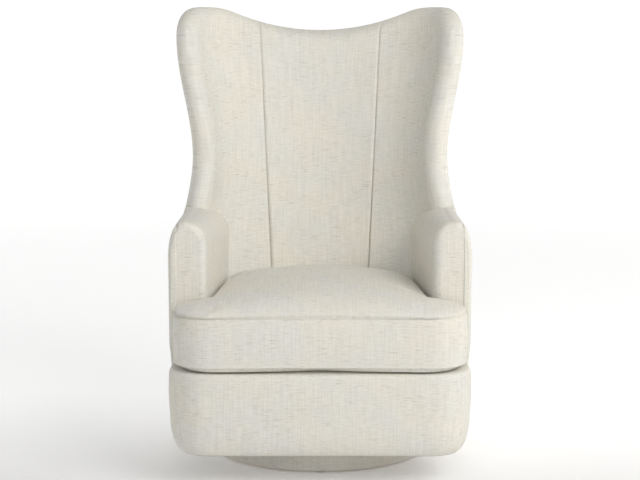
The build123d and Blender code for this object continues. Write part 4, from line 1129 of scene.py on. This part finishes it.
def swell(obj, cushion, outline):
    """Swells the block: a remeshed copy is filled by cloth pressure between its seams, and the block follows."""
    floor_zone, seam_zone = 0.004, 0.009
    soft = bpy.data.objects.new("swollen", obj.data.copy())
    bpy.context.scene.collection.objects.link(soft)
    remesh = soft.modifiers.new("Remesh", "REMESH")
    remesh.mode = "VOXEL"
    remesh.voxel_size = cushion.voxel
    apply_modifiers(soft)
    points = mesh_points(soft.data)
    held = np.minimum(seam_distance(points, outline, cushion.upper_seam),
                      seam_distance(points, outline, cushion.lower_seam)) < cushion.voxel * 1.1
    held |= points[:, 2] < cushion.bottom_z + floor_zone
    pin = soft.vertex_groups.new(name="seams")
    pin.add(np.flatnonzero(held).tolist(), 1.0, "REPLACE")
    cloth_part = soft.modifiers.new("Cloth", "CLOTH")
    settings = cloth_part.settings
    settings.vertex_group_mass = "seams"
    settings.use_pressure = True
    settings.uniform_pressure_force = cushion.pressure
    settings.effector_weights.gravity = 0
    settings.quality = 6
    settings.mass = 0.3
    settings.tension_stiffness = 25
    settings.compression_stiffness = 25
    settings.shear_stiffness = 10
    settings.bending_stiffness = 4
    settings.air_damping = 4
    cloth_part.collision_settings.use_collision = False
    cloth_part.point_cache.frame_start = 1
    cloth_part.point_cache.frame_end = cushion.steps
    for step in range(1, cushion.steps + 1):
        bpy.context.scene.frame_set(step)
    apply_modifiers(soft)
    bpy.context.scene.frame_set(1)
    shift = mesh_points(soft.data) - points
    size = np.linalg.norm(shift, axis=1, keepdims=True)
    limited = points + shift * np.minimum(1, cushion.cap / np.maximum(size, 1e-9))
    soft.data.vertices.foreach_set("co", limited.ravel())
    soft.data.update()
    fine = soft.modifiers.new("Fine", "SUBSURF")
    fine.levels = fine.render_levels = 1
    apply_modifiers(soft)
    follow = obj.modifiers.new("Follow", "SHRINKWRAP")
    follow.target = soft
    follow.wrap_method = "PROJECT"
    follow.use_negative_direction = True
    follow.use_positive_direction = True
    follow.project_limit = 0.03
    before = mesh_points(obj.data)
    apply_modifiers(obj)
    upper = seam_distance(before, outline, cushion.upper_seam)
    lower = seam_distance(before, outline, cushion.lower_seam)
    free = (1 - np.exp(-(np.minimum(upper, lower) / seam_zone) ** 2)) * (before[:, 2] > cushion.lower_seam)
    swollen = before + (mesh_points(obj.data) - before) * free[:, None]
    obj.data.vertices.foreach_set("co", swollen.ravel())
    obj.data.update()
    bpy.data.objects.remove(soft)


def finish_cushion(obj, cushion, outline):
    """Draws the cloth in at the upper seam, raises the lower one and lays the weave round the band and flat."""
    mesh = obj.data
    points = mesh_points(mesh)
    normals = np.zeros(len(mesh.vertices) * 3)
    mesh.vertices.foreach_get("normal", normals)
    normals = normals.reshape(-1, 3)
    upper = seam_distance(points, outline, cushion.upper_seam) / UPPER_SEAM_REACH
    lower = seam_distance(points, outline, cushion.lower_seam) / LOWER_SEAM_REACH
    rise = cushion.lip * np.exp(-lower ** 2) - cushion.seam_depth * np.exp(-upper ** 2)
    points = points + normals * rise[:, None]
    points[:, 2] = np.maximum(points[:, 2], cushion.bottom_z)
    mesh.vertices.foreach_set("co", points.ravel())
    mesh.update()
    sizes = np.zeros(len(mesh.polygons), np.int32)
    mesh.polygons.foreach_get("loop_total", sizes)
    corner = np.zeros(len(mesh.loops), np.int32)
    mesh.loops.foreach_get("vertex_index", corner)
    first = np.concatenate([[0], np.cumsum(sizes)[:-1]])
    at = points[corner]
    middle = np.repeat(np.add.reduceat(at[:, 2], first) / sizes, sizes)
    on_band = (middle < cushion.upper_seam) & (middle > cushion.lower_seam)
    step = np.linalg.norm(np.roll(outline, -1, 0) - outline, axis=1)
    run = np.concatenate([[0], np.cumsum(step)[:-1]])[nearest(points, outline)][corner]
    most = np.repeat(np.maximum.reduceat(run, first), sizes)
    run = np.where(most - run > step.sum() / 2, run + step.sum(), run)
    u = np.where(on_band, run, at[:, 0])
    v = np.where(on_band, at[:, 2], at[:, 1] + at[:, 2])
    layer = mesh.uv_layers.get(UV_NAME) or mesh.uv_layers.new(name=UV_NAME)
    layer.data.foreach_set("uv", np.stack([u, v], -1).astype(np.float32).ravel())
    mesh.shade_smooth()


class CHAIR_OT_zip(Operator):
    """Zip tape on the rear of the cushion, with two rows of coil along its middle."""

    bl_idname = "chair.build_zip"
    bl_label = "Zip tape"

    def execute(self, context):
        form = context.scene.chair_form
        low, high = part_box("cushion_zip")
        half, crown_y, depth, corner = inner_arch(form, np.array(form.deck_z))
        crown = float(arch_parts(half, depth, corner)[0])
        center = float(crown_y) - crown
        reach = math.asin(high.x / (high.y - center))
        angle = np.linspace(math.pi / 2 - reach, math.pi / 2 + reach, 240)[None, :]
        outer = high.y - center
        tape, coil_height, coil_width, turns = 0.00036, 0.0006, 0.0028, 900
        z = np.linspace(low.z, high.z, 25)[:, None]
        ridge = np.exp(-((z - (low.z + high.z) / 2) / coil_width) ** 2)
        coil = coil_height * ridge * (0.5 + 0.5 * np.cos(angle * turns))
        radius = outer - coil_height + coil
        face = np.stack([radius * np.cos(angle), center + radius * np.sin(angle), z + 0 * angle], -1)
        uv = np.stack([outer * angle + 0 * z, z + 0 * angle], -1)
        obj = sheet_mesh("zip_tape", [(face, uv, False)])
        dress(obj, cloth("zip_weave", (0.75, 0.73, 0.70), 0.2), "cushion", ["cushion_zip"])
        thicken(obj, tape)
        return {"FINISHED"}


class CHAIR_OT_frame(Operator):
    """Finishes of the rigid pieces of the frame, base and bearing."""

    bl_idname = "chair.finish_frame"
    bl_label = "Frame finishes"

    def execute(self, context):
        for node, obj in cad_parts.items():
            if obj.hide_render:
                continue
            slot = frame_slot(node)
            name = slot + "_finish"
            material = bpy.data.materials.get(name) or grained_material(name, *FINISHES[slot])
            obj.data.materials.clear()
            obj.data.materials.append(material)
        return {"FINISHED"}


# Light colour, dark colour, stretch of the grain, roughness and metallic share of each finish
FINISHES = {
    "frame_wood": ((0.62, 0.45, 0.27, 1), (0.42, 0.28, 0.15, 1), (30, 30, 4), 0.6, 0.0),
    "spring_steel": ((0.42, 0.43, 0.45, 1), (0.26, 0.27, 0.29, 1), (200, 200, 200), 0.38, 1.0),
    "bright_steel": ((0.66, 0.67, 0.69, 1), (0.48, 0.49, 0.51, 1), (300, 40, 300), 0.3, 1.0),
    "black_steel": ((0.05, 0.05, 0.055, 1), (0.025, 0.025, 0.03, 1), (150, 150, 150), 0.45, 0.6),
    "bearing_cage": ((0.45, 0.46, 0.47, 1), (0.30, 0.31, 0.32, 1), (120, 120, 120), 0.4, 1.0),
    "nylon": ((0.62, 0.61, 0.58, 1), (0.52, 0.51, 0.48, 1), (90, 90, 90), 0.5, 0.0),
    "clip_plastic": ((0.20, 0.20, 0.20, 1), (0.13, 0.13, 0.13, 1), (120, 120, 120), 0.5, 0.0),
    "zip_metal": ((0.60, 0.58, 0.52, 1), (0.42, 0.40, 0.36, 1), (400, 400, 400), 0.35, 1.0),
}
FINISH_WORDS = (("spring_clips", "clip_plastic"), ("spring", "spring_steel"), ("glide", "nylon"),
                ("slider", "zip_metal"), ("cage", "bearing_cage"), ("plate_screws", "bright_steel"),
                ("plate_bolts", "bright_steel"), ("nut", "bright_steel"), ("king", "bright_steel"),
                ("balls", "bright_steel"), ("swivel_plate", "black_steel"))


def frame_slot(node):
    """Finish of a rigid node: that of the first listed word in its name, else wood."""
    return next((slot for word, slot in FINISH_WORDS if word in node), "frame_wood")


class CHAIR_OT_stage(Operator):
    """Pale floor sweeping up all round, soft studio light and the camera."""

    bl_idname = "chair.build_stage"
    bl_label = "Stage"

    def execute(self, context):
        look = context.scene.chair_stage
        scene = context.scene
        round_over, reach, tall, shaded, aim = 1.6, 7.0, 4.5, 0.985, np.array((0, 0, 0.6))
        turn = np.linspace(0, math.pi / 2, 24)
        r = np.concatenate([[0.0, 2.0, 4.0], reach - round_over * (1 - np.sin(turn)), [reach]])[:, None]
        z = np.concatenate([[0.0, 0.0, 0.0], round_over * (1 - np.cos(turn)), [tall]])[:, None]
        angle = np.linspace(0, 2 * math.pi, 97)[None, :-1]
        grid = np.stack([r * np.cos(angle), r * np.sin(angle), z + 0 * angle], -1)[::-1]
        floor = sheet_mesh("floor", [(grid, grid[..., :2], True)])
        material, nodes, links, shader = node_material("floor_paper")
        place = nodes.new("ShaderNodeTexCoord")
        tone = noise(nodes, links, place.outputs["Object"], 3.0, 2.0)
        darker = tuple(c * shaded for c in look.floor[:3]) + (1,)
        paper = ramp(nodes, links, tone, [(0.0, darker), (1.0, tuple(look.floor))])
        links.new(paper, shader.inputs["Base Color"])
        shader.inputs["Roughness"].default_value = 0.9
        shader.inputs["Specular IOR Level"].default_value = 0.1
        shader.inputs["Emission Color"].default_value = (1.0, 1.0, 1.0, 1)
        parts = nodes.new("ShaderNodeSeparateXYZ")
        links.new(place.outputs["Object"], parts.inputs["Vector"])
        far = nodes.new("ShaderNodeMapRange")
        far.interpolation_type = "SMOOTHSTEP"
        far.inputs["From Min"].default_value = -0.8
        far.inputs["From Max"].default_value = 0.6
        far.inputs["To Max"].default_value = look.glow
        links.new(parts.outputs["Y"], far.inputs["Value"])
        links.new(far.outputs["Result"], shader.inputs["Emission Strength"])
        floor.data.materials.append(material)
        lights = (
            ("key", (2.3, -2.6, 2.9), look.key, (1.0, 0.985, 0.96)),
            ("side", (3.3, -1.2, 2.4), look.side, (1.0, 0.985, 0.96)),
            ("front", (0.0, -4.2, 2.6), look.front, (1.0, 0.99, 0.98)),
        )
        for name, place, power, color in lights:
            light = bpy.data.lights.new(name, "AREA")
            light.shape = "SQUARE"
            light.size = 2.4
            light.energy = power
            light.color = color
            obj = bpy.data.objects.new(name, light)
            obj.location = place
            gaze = aim - np.array(place)
            flat = math.hypot(gaze[0], gaze[1])
            obj.rotation_euler = (math.atan2(flat, -gaze[2]), 0, math.atan2(-gaze[0], gaze[1]))
            scene.collection.objects.link(obj)
        world = bpy.data.worlds.get("studio") or bpy.data.worlds.new("studio")
        world.use_nodes = True
        shade = world.node_tree.nodes["Background"]
        shade.inputs["Color"].default_value = (1.0, 1.0, 1.0, 1)
        shade.inputs["Strength"].default_value = look.world
        scene.world = world
        camera = bpy.data.cameras.new("camera")
        camera.lens = look.lens
        camera.sensor_width = 36
        camera.sensor_fit = "HORIZONTAL"
        camera.dof.use_dof = False
        obj = bpy.data.objects.new("camera", camera)
        obj.location = look.camera_place
        obj.rotation_euler = (look.camera_tilt, 0, 0)
        scene.collection.objects.link(obj)
        scene.camera = obj
        scene.view_settings.view_transform = "Standard"
        return {"FINISHED"}


class CHAIR_PT_panel(Panel):
    """Settings and builders of the chair."""

    bl_idname = "CHAIR_PT_panel"
    bl_label = "Winged swivel chair"
    bl_space_type = "VIEW_3D"
    bl_region_type = "UI"
    bl_category = "Chair"

    def draw(self, context):
        for group in ("chair_form", "chair_cushion", "chair_fabric", "chair_stage"):
            settings = getattr(context.scene, group)
            box = self.layout.box()
            for key in settings.bl_rna.properties.keys():
                if key not in ("rna_type", "name"):
                    box.prop(settings, key)
        for builder in BUILDERS:
            self.layout.operator(builder.bl_idname)


SETTINGS = (ChairForm, CushionForm, FabricLook, StageLook)
BUILDERS = (CHAIR_OT_plinth, CHAIR_OT_outside, CHAIR_OT_border, CHAIR_OT_arms, CHAIR_OT_back, CHAIR_OT_deck,
            CHAIR_OT_cushion, CHAIR_OT_zip, CHAIR_OT_frame, CHAIR_OT_stage)


def register():
    """Adds the classes and settings."""
    for cls in (*SETTINGS, *BUILDERS, CHAIR_PT_panel):
        bpy.utils.register_class(cls)
    bpy.types.Scene.chair_form = PointerProperty(type=ChairForm)
    bpy.types.Scene.chair_cushion = PointerProperty(type=CushionForm)
    bpy.types.Scene.chair_fabric = PointerProperty(type=FabricLook)
    bpy.types.Scene.chair_stage = PointerProperty(type=StageLook)


def unregister():
    """Removes the classes and settings."""
    for key in ("chair_form", "chair_cushion", "chair_fabric", "chair_stage"):
        delattr(bpy.types.Scene, key)
    for cls in reversed((*SETTINGS, *BUILDERS, CHAIR_PT_panel)):
        bpy.utils.unregister_class(cls)


def main():
    """Builds everything."""
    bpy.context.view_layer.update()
    register()
    bpy.ops.chair.build_plinth()
    bpy.ops.chair.build_outside()
    bpy.ops.chair.build_border()
    bpy.ops.chair.build_arms()
    bpy.ops.chair.build_back()
    bpy.ops.chair.build_deck()
    bpy.ops.chair.build_cushion()
    bpy.ops.chair.build_zip()
    bpy.ops.chair.finish_frame()
    bpy.ops.chair.build_stage()


if __name__ == "__main__":
    main()
